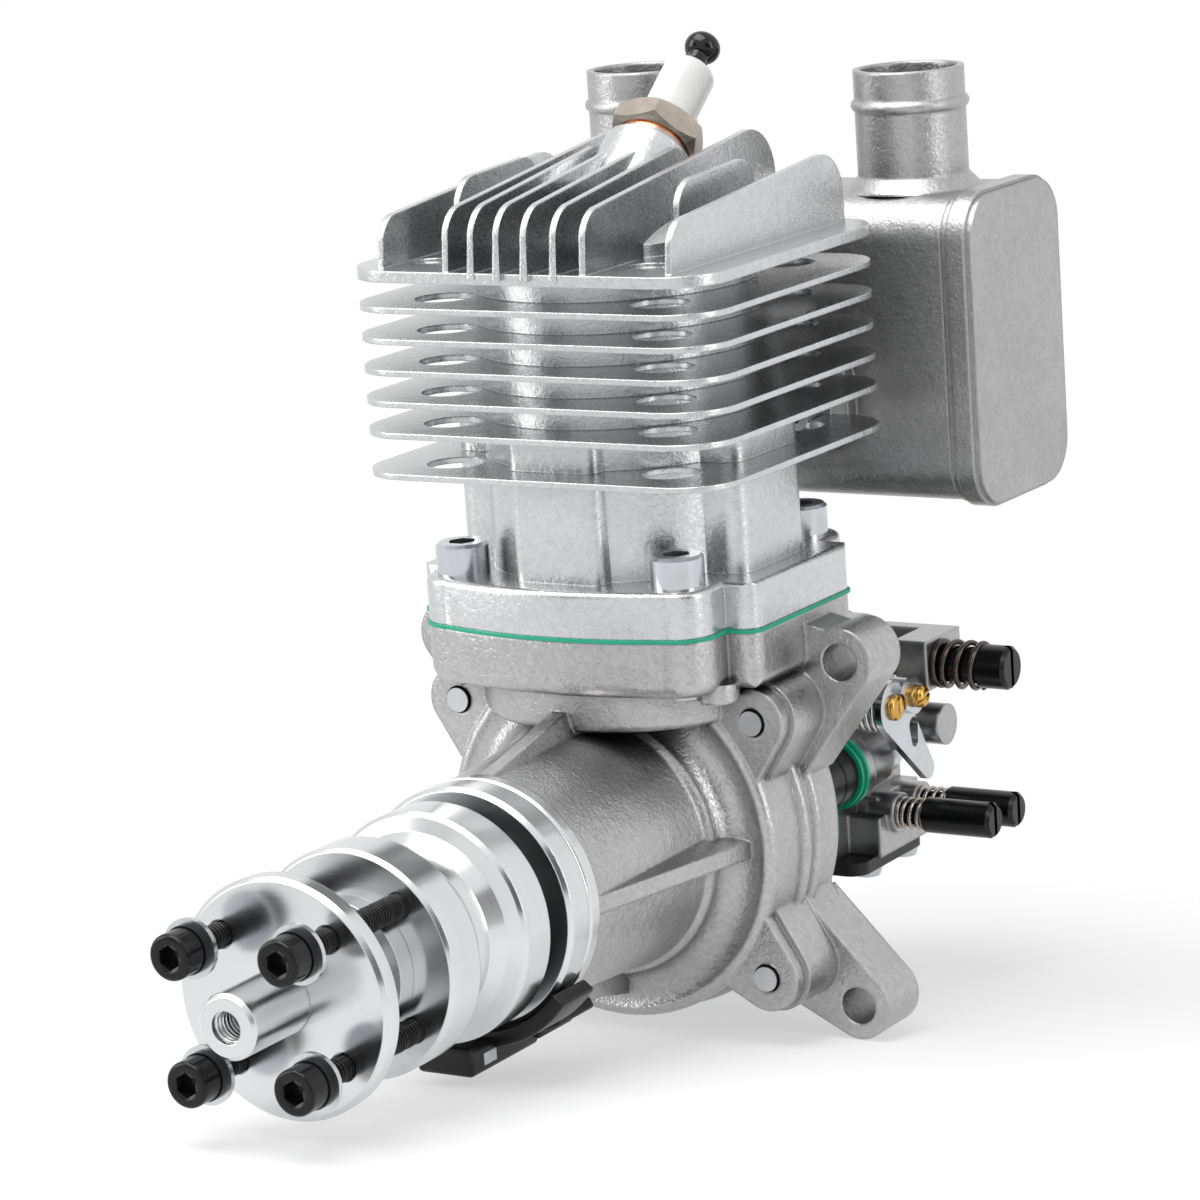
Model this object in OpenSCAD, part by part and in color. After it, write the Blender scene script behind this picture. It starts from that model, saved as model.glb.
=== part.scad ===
// Petrol two-stroke engine for model aircraft: upright cylinder, rear exhaust, rear carburettor.
// Millimetres. The crankshaft runs along Y with the propeller at -Y, the cylinder points to +Z.
// The origin is where the crankshaft axis meets the rear face of the four mounting lugs.

/* [Cylinder and piston] */
// Bore of the cylinder
bore_d = 39; // [36:0.5:40]
// Stroke of the piston
stroke = 29.5; // [27:0.5:30]
// Con rod length between centres
rod_length = 54; // [53:0.5:55]
// Cylinder axis ahead of the mounting face
cylinder_set = 9.5; // [9.3:0.1:9.8]
// Height of the piston pin above the skirt edge
pin_height = 12; // [11:0.5:12.5]
// Height of the crown edge above the piston pin
crown_height = 20; // [19:0.5:21]
// Diameter of the piston pin
wrist_pin_d = 10; // [9:0.5:11]
// Outer diameter of the barrel core
barrel_d = 44.6; // [43:0.2:46]
// Half width of the side pads over the transfer ports
pad_reach = 26.3; // [25.6:0.1:27]
// Width of the side pads
pad_width = 21; // [18:0.5:22]
// Reach of the front and rear barrel pads
front_pad_reach = 23.8; // [23:0.1:24.4]
// Width of the front barrel pad
front_pad_width = 16.6; // [14:0.2:18]

/* [Cooling fins] */
// Length of the fins across the engine
fin_length = 65.8; // [64:0.2:68]
// Length of the fins fore and aft
fin_depth = 60; // [58:0.5:61]
// Corner radius of the fins
fin_corner = 9.2; // [7:0.2:11]
// Thickness of one barrel fin
fin_thickness = 1.3; // [1:0.1:1.6]
// Top of the lowest fin
lowest_fin_z = 61.2; // [60.5:0.1:62]
// Top of the second fin
second_fin_z = 67.7; // [67:0.1:68.4]
// Spacing of the other fins
fin_pitch = 4.95; // [4.6:0.05:5]
// Top of the head plate
head_plate_z = 93.2; // [92.8:0.1:93.8]
// Thickness of the head plate
head_plate_t = 2.4; // [2:0.1:2.8]
// Diameter of the key holes over the base screws
key_hole_d = 9.2; // [9:0.1:10]
// Spacing of the middle head fins
head_fin_pitch = 4.95; // [4.6:0.05:5.2]
// Thickness of a head fin
head_fin_t = 1.4; // [1.1:0.1:1.8]
// Place of the outer head fins
outer_fin_x = 26; // [25:0.2:27]
// Place of the short head fins
short_fin_x = 20; // [19:0.2:21]

/* [Cylinder base] */
// Half spacing of the base screws across the engine
base_screw_x = 19.7; // [19.5:0.1:20]
// Half spacing of the base screws fore and aft
base_screw_y = 19.6; // [19.4:0.1:19.9]
// Radius of the flange round a base screw
base_lobe_r = 6; // [5.6:0.1:6.4]
// Half width of the flange at its sides
flange_reach_x = 30.7; // [30:0.1:31.2]
// Half depth of the flange at its middle
flange_reach_y = 28.6; // [28:0.1:29]
// Width of the side lobes
side_lobe_w = 32; // [29:0.5:33]
// Top of the cylinder flange
flange_top_z = 43.6; // [43:0.1:44.5]
// Height of the base joint
deck_z = 36; // [35.6:0.1:36.4]
// Underside of the crankcase deck
deck_bottom_z = 26.6; // [26:0.1:27.2]
// Thickness of the base gasket
base_gasket_t = 0.5; // [0.4:0.1:0.8]
// Head diameter of the base screws
base_head_d = 8.5; // [8:0.1:8.6]
// Thread diameter of the base screws
base_thread_d = 5; // [4:0.5:5]

/* [Crankcase] */
// Outer radius of the crank chamber
drum_r = 29.9; // [29.6:0.1:30.4]
// Inner radius of the crank chamber
chamber_r = 27.2; // [27.1:0.1:27.6]
// Front face of the chamber housing
drum_front_y = -22.8; // [-23.5:0.1:-22.6]
// Rear face of the chamber housing
drum_rear_y = -1.5; // [-2:0.1:-1.2]
// Joint between the two crankcase halves
split_y = -10.5; // [-10.9:0.1:-10.2]
// Thickness of the chamber walls
case_wall = 3; // [2.8:0.1:3.2]
// Radius of the nose at its front
nose_front_r = 18.6; // [18.4:0.1:19.4]
// Radius of the nose at its root
nose_root_r = 20.4; // [20:0.1:21]
// Front end of the nose casting
nose_front_y = -56.6; // [-57.5:0.1:-56]
// Place of the case screws across the engine
case_screw_x = 27.2; // [26.8:0.1:27.6]
// Height of the upper case screws
case_screw_top = 20.6; // [20:0.1:21]
// Depth of the lower case screws
case_screw_low = 20.8; // [20:0.1:21.4]
// Half spacing of the mounting holes across the engine
mount_x = 36.5; // [36:0.1:37]
// Half spacing of the mounting holes in height
mount_z = 28; // [27.6:0.1:28.4]
// Diameter of the mounting holes
mount_hole_d = 6; // [5:0.1:6.4]
// Radius of the mounting bosses
mount_boss_r = 5.5; // [5.2:0.1:6]
// Thickness of the mounting lugs
lug_t = 10; // [9:0.5:11]

/* [Crankshaft and hub] */
// Shaft diameter in the main bearings
shaft_d = 15; // [14:0.5:15.5]
// Outer diameter of the main bearings
bearing_d = 32; // [31:0.5:32.5]
// Width of the main bearings
bearing_w = 9; // [8:0.5:9.5]
// Radius of the crank web
web_r = 23.5; // [22:0.1:24]
// Thickness of the crank web
web_t = 4.8; // [4.4:0.1:4.9]
// Diameter of the crank pin
crank_pin_d = 7; // [6:0.2:7.4]
// Outer diameter of the rod's big end
big_end_d = 15; // [14:0.2:15]
// Width of the rod's eyes
rod_eye_w = 7.6; // [7:0.1:8]
// Outer radius of the machined collar
collar_r = 19; // [18.6:0.1:19.4]
// Length of the machined collar
collar_length = 8.1; // [7.5:0.1:8.4]
// Rear face of the hub
hub_rear_y = -68.7; // [-69.2:0.1:-68.2]
// Front face of the hub
hub_front_y = -95; // [-96:0.1:-94]
// Radius of the hub's front disc
hub_front_r = 17.65; // [17:0.05:18]
// Radius of the hub's rear disc
hub_rear_r = 18.1; // [17.5:0.05:18.4]
// Radius of the hub's waist
hub_waist_r = 13.6; // [13:0.1:14.4]
// Radius of the propeller bolt circle
bolt_circle_r = 13.34; // [13:0.02:13.6]
// Turn of the bolt pattern from the diagonals
bolt_turn = 3.1; // [0:0.1:10]
// Diameter of the propeller bolts
prop_bolt_d = 4; // [3:0.5:4]
// Front end of the bolt heads
bolt_head_y = -125.4; // [-127:0.1:-124]
// Outer radius of the propeller washer
prop_washer_r = 18.3; // [17.8:0.1:19]
// Thickness of the propeller washer
prop_washer_t = 3.5; // [3:0.1:4]
// Front face of the propeller washer
prop_washer_y = -112.9; // [-114:0.1:-111]
// Diameter of the propeller stub
stub_d = 10; // [9.5:0.1:10.4]
// Front end of the propeller stub
stub_end_y = -126.4; // [-128:0.1:-125]
// Diameter of the tapped hole in the stub
stub_bore_d = 5; // [4:0.1:5.4]
// Depth of the tapped hole in the stub
stub_bore_depth = 15; // [12:0.5:18]

/* [Spark plug] */
// Lean of the spark plug to the rear
plug_tilt = 52; // [48:1:55]
// Place of the plug seat behind the cylinder axis
plug_seat_back = 11.85; // [11.4:0.05:12.4]
// Height of the plug seat
plug_seat_z = 105.45; // [105:0.05:105.9]
// Width of the plug's hexagon
plug_hex = 14; // [13:0.5:14.5]
// Diameter of the insulator
insulator_d = 8.7; // [8:0.1:9.2]
// Length of the insulator above the hexagon
insulator_length = 13.2; // [12:0.2:14]

/* [Muffler] */
// Half width of the muffler body
muffler_half_x = 38; // [37:0.5:39]
// Thickness of an end cap
cap_t = 5.5; // [4:0.1:6]
// Front face of the muffler
muffler_front_y = 28; // [27.6:0.1:28.6]
// Depth of the muffler
muffler_depth = 31; // [29:0.5:33]
// Underside of the muffler
muffler_bottom_z = 45; // [44:0.5:46]
// Height of the muffler
muffler_height = 50; // [47:0.5:51]
// Corner radius of the muffler
muffler_corner = 7; // [5:0.5:9]
// Wall of the muffler
muffler_wall = 1.6; // [1.2:0.1:2]
// Place of the exhaust stacks
stack_x = 25.5; // [24:0.1:26]
// Outer diameter of an exhaust stack
stack_d = 18.2; // [17:0.2:19]
// Wall of an exhaust stack
stack_wall = 1.1; // [0.9:0.1:1.5]
// Top of the exhaust stacks
stack_top_z = 114.6; // [110:0.2:118]

/* [Intake] */
// Outer radius of the reed housing flange
reed_flange_r = 26; // [25:0.1:27]
// Thickness of the reed housing flange
reed_flange_t = 4.5; // [4:0.1:5]
// Thickness of the rear gasket
rear_gasket_t = 0.6; // [0.4:0.1:0.8]
// Front gasket face of the carburettor joint
joint_y = 22.2; // [21.8:0.1:22.6]
// Thickness of each carburettor gasket
carb_gasket_t = 0.7; // [0.5:0.1:0.9]
// Thickness of the heat plate
heat_plate_t = 0.6; // [0.4:0.1:0.8]
// Half spacing of the carburettor screws
carb_screw_x = 15.5; // [15.2:0.1:15.8]
// Radius of the carburettor ears
carb_ear_r = 6; // [5.8:0.1:6.2]
// Height of the carburettor bore
carb_bore_z = 10; // [9.8:0.1:10.2]
// Diameter of the carburettor throat
throat_d = 13; // [12:0.5:13.5]
// Length of the carburettor body
carb_length = 28; // [27:0.5:29]
// Underside of the carburettor body
carb_bottom_z = -17; // [-17.5:0.1:-16.6]
// Top of the carburettor body
carb_top_z = 18.6; // [18.3:0.1:19]
// Throttle shaft behind the carburettor flange
throttle_set = 6.3; // [6.2:0.1:6.4]
// Choke shaft behind the carburettor flange
choke_set = 20; // [19.8:0.1:20.6]
// Diameter of the throttle and choke shafts
shaft_small_d = 4; // [3.6:0.1:4.2]

/* [Ignition pickup] */
// Thickness of the pickup holder's arm
holder_t = 2.6; // [2.2:0.1:3]
// Length of the pickup block
pickup_length = 20; // [18:0.5:21]
// Width of the pickup block
pickup_width = 16; // [14:0.5:17]

/* [Clearances] */
// Running clearance of shafts and pins
run_fit = 0.03; // [0.02:0.01:0.06]
// Clearance of a screw in its hole
screw_fit = 0.15; // [0.1:0.05:0.25]
// Gap between moving faces
face_gap = 0.3; // [0.25:0.05:0.4]

/* [Hidden] */
$fn = 48;

cyl_y = -cylinder_set;
bore_r = bore_d / 2;
throw = stroke / 2;
tdc_pin_z = throw + rod_length;
crown_edge_z = tdc_pin_z + crown_height;
skirt_z = tdc_pin_z - pin_height;
// The bore ends just above the crown edge, and the chamber roof is a cap of a sphere.
bore_end_z = crown_edge_z + 1.2;
chamber_rise = 7;
chamber_sphere_r = (bore_r * bore_r + chamber_rise * chamber_rise) / (2 * chamber_rise);
chamber_centre_z = bore_end_z + chamber_rise - chamber_sphere_r;
head_wall = 3.4;
spigot_r = bore_r + 2.4;
spigot_z = skirt_z - stroke + 0.6;
case_mouth_r = spigot_r + screw_fit;
mouth_floor_z = skirt_z - stroke - face_gap;
chamber_front_y = drum_front_y + case_wall;
chamber_rear_y = drum_rear_y - case_wall;
pocket_half_w = 7;
pocket_reach = 25.3;
pocket_z = 9;

// Chain of places along the crankshaft, from the web to the nose
web_front_y = chamber_front_y + face_gap;
web_rear_y = web_front_y + web_t;
rear_bearing_y = drum_front_y - bearing_w + 0.4;
front_bearing_y = nose_front_y + 1.6;
collar_front_y = nose_front_y - collar_length;
seal_bore_r = 14.5;
seal_r = 11.5;
race_r = shaft_d / 2 + 2.4;
outer_race_r = bearing_d / 2 - 2.6;
ball_r = (outer_race_r - race_r) / 2 + 0.9;
ball_circle_r = (outer_race_r + race_r) / 2;
ball_count = 7;
cone_rear_y = front_bearing_y - 6;
cone_front_y = hub_front_y + 11;
stub_flange_t = 3.4;
stub_flange_r = bolt_circle_r - prop_bolt_d / 2 - 0.5;
stub_thread_r = 3.9;
bolt_head_h = prop_bolt_d;
bolt_head_r = prop_bolt_d * 0.875;
bolt_angles = [for (i = [0:3]) 45 + bolt_turn + 90 * i];
spring_washer_t = 1;
flat_washer_t = 0.8;
hub_disc_front = 7.6;
hub_disc_rear = 7.2;

rod_y0 = cyl_y - rod_eye_w / 2;
big_end_r = big_end_d / 2;
small_end_r = wrist_pin_d / 2 + 3.2;
pin_play = 0.3;

plug_y = cyl_y + plug_seat_back;
plug_band_t = 1.3;
plug_band_r = 6.3;
plug_ring_t = 2;
plug_hex_h = 4.2;
plug_hex_turn = -7;
plug_top = plug_ring_t + plug_hex_h;
plug_thread_r = 4.9;
plug_reach = 12.7;
plug_boss_r = 7.4;

exhaust_y = 24.4;
exhaust_z = 62;
exhaust_half_x = 21;
exhaust_half_z = 8.2;
exhaust_screw_x = 16.2;
exhaust_gasket_t = 0.6;
port_half_x = 10;
port_half_z = 4.6;
muffler_mid_y = muffler_front_y + muffler_depth / 2;
muffler_mid_z = muffler_bottom_z + muffler_height / 2;
muffler_top_z = muffler_bottom_z + muffler_height;
cap_proud = 0.8;

rear_gasket_y = drum_rear_y;
housing_y = rear_gasket_y + rear_gasket_t;
duct_y = housing_y + reed_flange_t;
heat_plate_y = joint_y + carb_gasket_t;
carb_gasket_y = heat_plate_y + heat_plate_t;
carb_y = carb_gasket_y + carb_gasket_t;
carb_back_y = carb_y + carb_length;
throttle_y = carb_y + throttle_set;
choke_y = carb_y + choke_set;
small_r = shaft_small_d / 2;
carb_half_x = 18.3;
upper_half_x = 12.2;
lever_x = 22.3;
lever_t = 1.3;
lever_reach = 17.2;
closed_angle = 75;
choke_shaft_r = small_r - 0.3;
throttle_spring_r = 4.1;
throttle_wire_r = 0.36;
reed_z = carb_bore_z - 2;
reed_half_x = 9;
reed_half_z = 7;
reed_fit = 0.3;
ear_boss_length = 11;
needle_z = -10.5;
needle_front_y = carb_y + 14.6;
needle_rear_y = needle_front_y + 7.4;
idle_y = carb_y + 20.8;
idle_z = 14.3;
bracket_x = 25;
screw_shank_r = 1.9;
joint_rise = 6;
joint_r = 12;
housing_screw_r = 21.5;
housing_screw_angles = [for (i = [0:3]) 45 + 90 * i];

holder_gap = 0.25;
holder_r = collar_r + holder_gap;
magnet_r = 2;
magnet_length = 3.6;

// Helpers: turned and extruded shapes along the engine's axes

module rod_y(x, y, z, r, h) {
  translate([x, y, z]) rotate([-90, 0, 0]) cylinder(h = h, r = r);
}

module rod_x(x, y, z, r, h) {
  translate([x, y, z]) rotate([0, 90, 0]) cylinder(h = h, r = r);
}

module rod_z(x, y, z, r, h) {
  translate([x, y, z]) cylinder(h = h, r = r);
}

// Revolves a profile of (radius, y) about the crankshaft axis.
module turn_y() {
  rotate([-90, 0, 0]) rotate_extrude() children();
}

// Extrudes an outline drawn in X and Z from y to y + t.
module plate_y(y, t) {
  translate([0, y + t, 0]) rotate([90, 0, 0]) linear_extrude(t) children();
}

// Extrudes an outline drawn in Y and Z from x to x + t.
module plate_x(x, t) {
  translate([x, 0, 0]) rotate([90, 0, 90]) linear_extrude(t) children();
}

module round_rect(w, h, r) {
  square([w - 2 * r, h], center = true);
  square([w, h - 2 * r], center = true);
  for (sx = [-1, 1], sy = [-1, 1]) translate([sx * (w / 2 - r), sy * (h / 2 - r)]) circle(r);
}

// Two circles and the tangents between them, which lie a hair inside so that they cross the circles
module link(a, ra, b, rb, tuck = 0.02) {
  d = b - a;
  dist = norm(d);
  dir = atan2(d[1], d[0]);
  side = acos((ra - rb) / dist);
  up = [cos(dir + side), sin(dir + side)];
  down = [cos(dir - side), sin(dir - side)];
  translate(a) circle(ra);
  translate(b) circle(rb);
  polygon([a + (ra - tuck) * up, a + (ra - tuck) * down, b + (rb - tuck) * down, b + (rb - tuck) * up]);
}

module hex_socket(af, depth) {
  cylinder(h = depth, r = af / sqrt(3), $fn = 6);
}

// A cap screw with its head's underside at z = 0 and its shank towards -Z
module cap_screw(d, length, head_d) {
  difference() {
    union() {
      translate([0, 0, -length]) cylinder(h = length + 0.1, r = d / 2);
      cylinder(h = d - 0.5, r = head_d / 2);
      translate([0, 0, d - 0.5]) cylinder(h = 0.5, r1 = head_d / 2, r2 = head_d / 2 - 0.5);
    }
    translate([0, 0, d * 0.45]) hex_socket(d * 0.8, d);
  }
}

// A round wire swept along a list of points
module wire(points, wire_r, sides = 6) {
  last = len(points) - 1;
  rings = [for (i = [0:last])
    let (
      ahead = points[min(i + 1, last)] - points[max(i - 1, 0)],
      t = ahead / norm(ahead),
      n0 = cross(t, abs(t[0]) < 0.9 ? [1, 0, 0] : [0, 0, 1]),
      n = n0 / norm(n0),
      b = cross(t, n)
    )
    for (k = [0:sides - 1]) points[i] + wire_r * (cos(360 * k / sides) * n + sin(360 * k / sides) * b)];
  walls = [for (i = [0:last - 1], k = [0:sides - 1])
    let (k2 = (k + 1) % sides)
    each [[i * sides + k, i * sides + k2, (i + 1) * sides + k2],
          [i * sides + k, (i + 1) * sides + k2, (i + 1) * sides + k]]];
  first_end = [for (k = [1:sides - 2]) [0, k + 1, k]];
  last_end = [for (k = [1:sides - 2]) [last * sides, last * sides + k, last * sides + k + 1]];
  polyhedron(points = rings, faces = concat(walls, first_end, last_end));
}

// A coil spring along +X, starting at x = 0
module coil_x(length, coil_r, wire_r, turns, steps = 12) {
  count = turns * steps;
  wire([for (i = [0:count])
    [length * i / count, coil_r * cos(360 * i / steps), coil_r * sin(360 * i / steps)]], wire_r);
}

// Crankcase

module flange_outline(extra = 0) {
  translate([0, cyl_y]) {
    for (sx = [-1, 1], sy = [-1, 1])
      translate([sx * base_screw_x, sy * base_screw_y]) circle(base_lobe_r + extra);
    square([2 * base_screw_x, 2 * (base_screw_y + base_lobe_r + extra)], center = true);
    square([2 * (base_screw_x + base_lobe_r + extra), 2 * base_screw_y], center = true);
    round_rect(2 * (flange_reach_x + extra), side_lobe_w + 2 * extra, 3);
    for (s = [-1, 1]) intersection() {
      square([2 * base_screw_x, 2 * (flange_reach_y + extra)], center = true);
      translate([0, s * (flange_reach_y + extra - bulge_r)]) circle(bulge_r, $fn = 96);
    }
  }
}
bulge_drop = flange_reach_y - base_screw_y - base_lobe_r;
bulge_r = (base_screw_x * base_screw_x + bulge_drop * bulge_drop) / (2 * bulge_drop);

module each_base_screw() {
  for (sx = [-1, 1], sy = [-1, 1]) translate([sx * base_screw_x, cyl_y + sy * base_screw_y, 0]) children();
}

module each_case_screw() {
  for (s = [-1, 1]) {
    translate([s * case_screw_x, 0, case_screw_top]) children();
    translate([s * case_screw_x, 0, -case_screw_low]) children();
  }
}

module each_mount() {
  for (sx = [-1, 1], sz = [-1, 1]) translate([sx * mount_x, 0, sz * mount_z]) children();
}

case_boss_r = 5.4;
drum_edge_r = 1.8;
shoulder_y = drum_front_y - 4;
shoulder_r = nose_root_r + 1.2;
dish_r = 4.4;
joint_rib_r = 1.05;
joint_rib_y = 1.95;
gusset_w = 2.6;
gusset_draft = 18;
neck_r = 25.3;
neck_z = 20;
neck_edge_r = 1.6;
deck_edge_r = 2.4;
flange_edge_r = 1;
blind_boss_x = 23.5;
blind_boss_set = 16;
holder_skip = 4.2;

// The drum with its dished front, the ribs along the joint, and the nose with its shoulder
module drum_and_nose() {
  crest_y = drum_front_y + drum_edge_r;
  turn_y() {
    difference() {
      union() {
        translate([0, crest_y]) square([drum_r, drum_rear_y - crest_y]);
        translate([0, shoulder_y + 0.3]) square([drum_r - drum_edge_r, crest_y - shoulder_y]);
        translate([drum_r - drum_edge_r, crest_y]) circle(drum_edge_r);
      }
      translate([shoulder_r + dish_r, shoulder_y + 0.2]) circle(dish_r, $fn = 64);
    }
    for (s = [-1, 1]) translate([drum_r - 0.1, split_y + s * joint_rib_y]) circle(joint_rib_r);
    polygon([[0, nose_front_y], [nose_front_r, nose_front_y], [nose_root_r, shoulder_y - 1.4],
             [nose_root_r + 0.25, shoulder_y - 0.5], [shoulder_r - 0.35, shoulder_y],
             [shoulder_r + 0.05, shoulder_y + 0.5], [shoulder_r + 0.05, drum_front_y + 1.6],
             [0, drum_front_y + 1.6]]);
  }
}

// Blade from the nose up to the drum face, on the side where the angle points; it starts after the skip.
module gusset(angle, reach, skip = 0) {
  run = drum_front_y - nose_front_y + 0.9;
  start_r = nose_front_r + 0.2;
  lean = atan2(reach - start_r, run);
  depth = 9;
  root_w = gusset_w / 2 + depth * tan(gusset_draft);
  rotate([0, -angle, 0]) translate([start_r, nose_front_y, 0]) rotate([0, 0, -lean]) rotate([-90, 0, 0])
    translate([0, 0, skip]) linear_extrude(run / cos(lean) - skip)
      polygon([[0, gusset_w / 2], [0, -gusset_w / 2], [-depth, -root_w], [-depth, root_w]]);
}

// Side outline of a block whose lower edges are rounded
module soft_outline(half, h, edge) {
  translate([-half, edge]) square([2 * half, h - edge]);
  translate([edge - half, 0]) square([2 * (half - edge), edge + 0.1]);
  for (s = [-1, 1]) translate([s * (half - edge), edge]) circle(edge);
}

module soft_block(half_x, half_y, h, edge) {
  intersection() {
    plate_y(-half_y, 2 * half_y) soft_outline(half_x, h, edge);
    plate_x(-half_x, 2 * half_x) soft_outline(half_y, h, edge);
  }
}

module soft_round(r, h, edge, sides = 48) {
  rotate_extrude($fn = sides) intersection() {
    soft_outline(r, h, edge);
    square([r, h]);
  }
}

// A plate with the outline of the flange and a rounded lower edge. Its straight sides lie a hair
// inside the lobes, so that they cross them.
module soft_flange(h, edge) {
  tuck = 0.02;
  lobe_y = base_screw_y + base_lobe_r - tuck;
  lobe_x = base_screw_x + base_lobe_r - tuck;
  for (sx = [-1, 1], sy = [-1, 1])
    translate([sx * base_screw_x, sy * base_screw_y, 0]) soft_round(base_lobe_r, h, edge);
  intersection() {
    soft_block(lobe_x, lobe_y, h, edge);
    translate([-base_screw_x, -40, -1]) cube([2 * base_screw_x, 80, h + 2]);
  }
  intersection() {
    soft_block(lobe_x, lobe_y, h, edge);
    translate([-40, -base_screw_y, -1]) cube([80, 2 * base_screw_y, h + 2]);
  }
  intersection() {
    soft_block(flange_reach_x, side_lobe_w / 2, h, edge);
    translate([0, 0, -1]) linear_extrude(h + 2) round_rect(2 * flange_reach_x, side_lobe_w, 3);
  }
  for (s = [-1, 1]) intersection() {
    translate([0, s * (flange_reach_y - bulge_r), 0]) soft_round(bulge_r, h, edge, 96);
    translate([-base_screw_x, -35, -1]) cube([2 * base_screw_x, 70, h + 2]);
  }
}

module deck() {
  translate([0, cyl_y, deck_bottom_z]) soft_flange(deck_z - base_gasket_t / 2 - deck_bottom_z, deck_edge_r);
}

// The round neck carries the deck, and its cheeks hold the transfer passages.
module neck() {
  translate([0, cyl_y, neck_z]) soft_round(neck_r, deck_bottom_z - neck_z + 1, neck_edge_r);
  translate([-pocket_reach - 2.3, cyl_y - pocket_half_w - 2.2, 6])
    cube([2 * pocket_reach + 4.6, 2 * pocket_half_w + 3.2, deck_bottom_z - 5]);
  // Blind bosses under the front corners of the deck
  for (s = [-1, 1]) rod_z(s * blind_boss_x, cyl_y - blind_boss_set, deck_bottom_z - 1.8, 3.4, 3);
}

module lug_arms() {
  for (s = [-1, 1]) {
    plate_y(-lug_t, lug_t) link([s * mount_x, mount_z], mount_boss_r, [s * 22, 13], 8);
    plate_y(-lug_t, lug_t + drum_rear_y) link([s * mount_x, mount_z], mount_boss_r - 1, [s * 25, 30], 5);
    plate_y(-lug_t, lug_t) link([s * mount_x, -mount_z], mount_boss_r, [s * 20, -16], 9);
  }
}

module case_bosses(y, t, extra) {
  plate_y(y, t) for (s = [-1, 1]) {
    link([s * case_screw_x, case_screw_top], case_boss_r + extra, [s * 20, 14], 8 + extra);
    link([s * case_screw_x, -case_screw_low], case_boss_r + extra, [s * 20, -14], 8 + extra);
  }
}

// Everything that is bored or cut in the closed crankcase
module case_cuts() {
  rod_y(0, chamber_front_y, 0, chamber_r, chamber_rear_y - chamber_front_y);
  rod_z(0, cyl_y, mouth_floor_z, case_mouth_r, deck_z - mouth_floor_z + 1);
  for (s = [-1, 1]) translate([s * pocket_reach / 2, cyl_y, (deck_z + pocket_z) / 2])
    cube([pocket_reach, 2 * pocket_half_w, deck_z - pocket_z + 1], center = true);
  rod_y(0, rear_bearing_y, 0, bearing_d / 2, chamber_front_y - rear_bearing_y + 0.1);
  rod_y(0, nose_front_y - 0.1, 0, bearing_d / 2 - 2.5, rear_bearing_y - nose_front_y + 0.2);
  rod_y(0, nose_front_y - 0.1, 0, bearing_d / 2, front_bearing_y + bearing_w - nose_front_y + 0.1);
  each_base_screw() translate([0, 0, deck_z - 14]) cylinder(h = 15, r = base_thread_d / 2);
  each_case_screw() rod_y(0, drum_front_y - 2, 0, 2 + run_fit, drum_rear_y - drum_front_y + 3);
  each_case_screw() rod_y(0, drum_front_y - 2, 0, 2 + 2 * screw_fit, 4);
  each_mount() rod_y(0, -lug_t - 1, 0, mount_hole_d / 2, lug_t + 2);
  // Intake window through the rear wall
  translate([0, drum_rear_y - case_wall / 2, reed_z])
    cube([2 * (reed_half_x + reed_fit), case_wall + 2, 2 * (reed_half_z + reed_fit)], center = true);
}

module crankcase_front() {
  color("#b9b6b1") difference() {
    union() {
      intersection() {
        union() {
          drum_and_nose();
          deck();
          neck();
          case_bosses(drum_front_y + 0.6, 14, 0);
          case_bosses(drum_front_y + 3.4, 11, 0.7);
        }
        translate([-60, nose_front_y, -60]) cube([120, split_y - nose_front_y, 120]);
      }
      gusset(0, 25.8);
      gusset(180, 25.8);
      gusset(-90, 26, holder_skip);
      gusset(90, 26.3);
    }
    case_cuts();
  }
}

module crankcase_rear() {
  color("#b9b6b1") difference() {
    union() {
      intersection() {
        union() {
          drum_and_nose();
          deck();
          neck();
          case_bosses(split_y, drum_rear_y - split_y, 0.7);
        }
        translate([-60, split_y, -60]) cube([120, 90, 120]);
      }
      lug_arms();
    }
    case_cuts();
    each_case_screw() rod_y(0, drum_rear_y - 4, 0, 3.6, 8);
    // Turned seat of the rear gasket
    rod_y(0, drum_rear_y, 0, drum_r, 5.9);
    for (a = housing_screw_angles)
      rod_y(housing_screw_r * cos(a), drum_rear_y - case_wall, housing_screw_r * sin(a), 1.5, 5);
  }
}

module case_screws() {
  color("#c9ccd0") each_case_screw() translate([0, drum_rear_y - 4, 0]) rotate([-90, 0, 0])
    cap_screw(4, drum_rear_y - 4 - drum_front_y, 7);
}

module timing_collar() {
  color("#d9dbde") turn_y() difference() {
    translate([seal_bore_r, collar_front_y]) square([collar_r - seal_bore_r, collar_length]);
    translate([collar_r + 0.1, collar_front_y - 0.1]) rotate(45) square(1.2, center = true);
    translate([collar_r + 0.1, nose_front_y - 2.6]) circle(0.5);
  }
}

module shaft_seal() {
  color("#1c1c1e") turn_y() polygon([
    [seal_bore_r, nose_front_y - 5.4], [seal_bore_r, nose_front_y - 0.4],
    [seal_bore_r - 1.4, nose_front_y - 0.4], [seal_bore_r - 1.4, nose_front_y - 4.2],
    [seal_r + 0.1, nose_front_y - 3.4], [seal_r + 0.1, nose_front_y - 4.6], [seal_bore_r - 1, nose_front_y - 5.4]]);
}

module ring_y(y, r1, r0, h) {
  turn_y() translate([r0, y]) square([r1 - r0, h]);
}

module each_bearing() {
  for (y = [rear_bearing_y, front_bearing_y]) translate([0, y, 0]) children();
}

module bearing_outer_rings() {
  color("#c4c7ca") each_bearing() difference() {
    ring_y(0, bearing_d / 2, outer_race_r, bearing_w);
    turn_y() translate([ball_circle_r, bearing_w / 2]) circle(ball_r + 0.05);
  }
}

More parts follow.
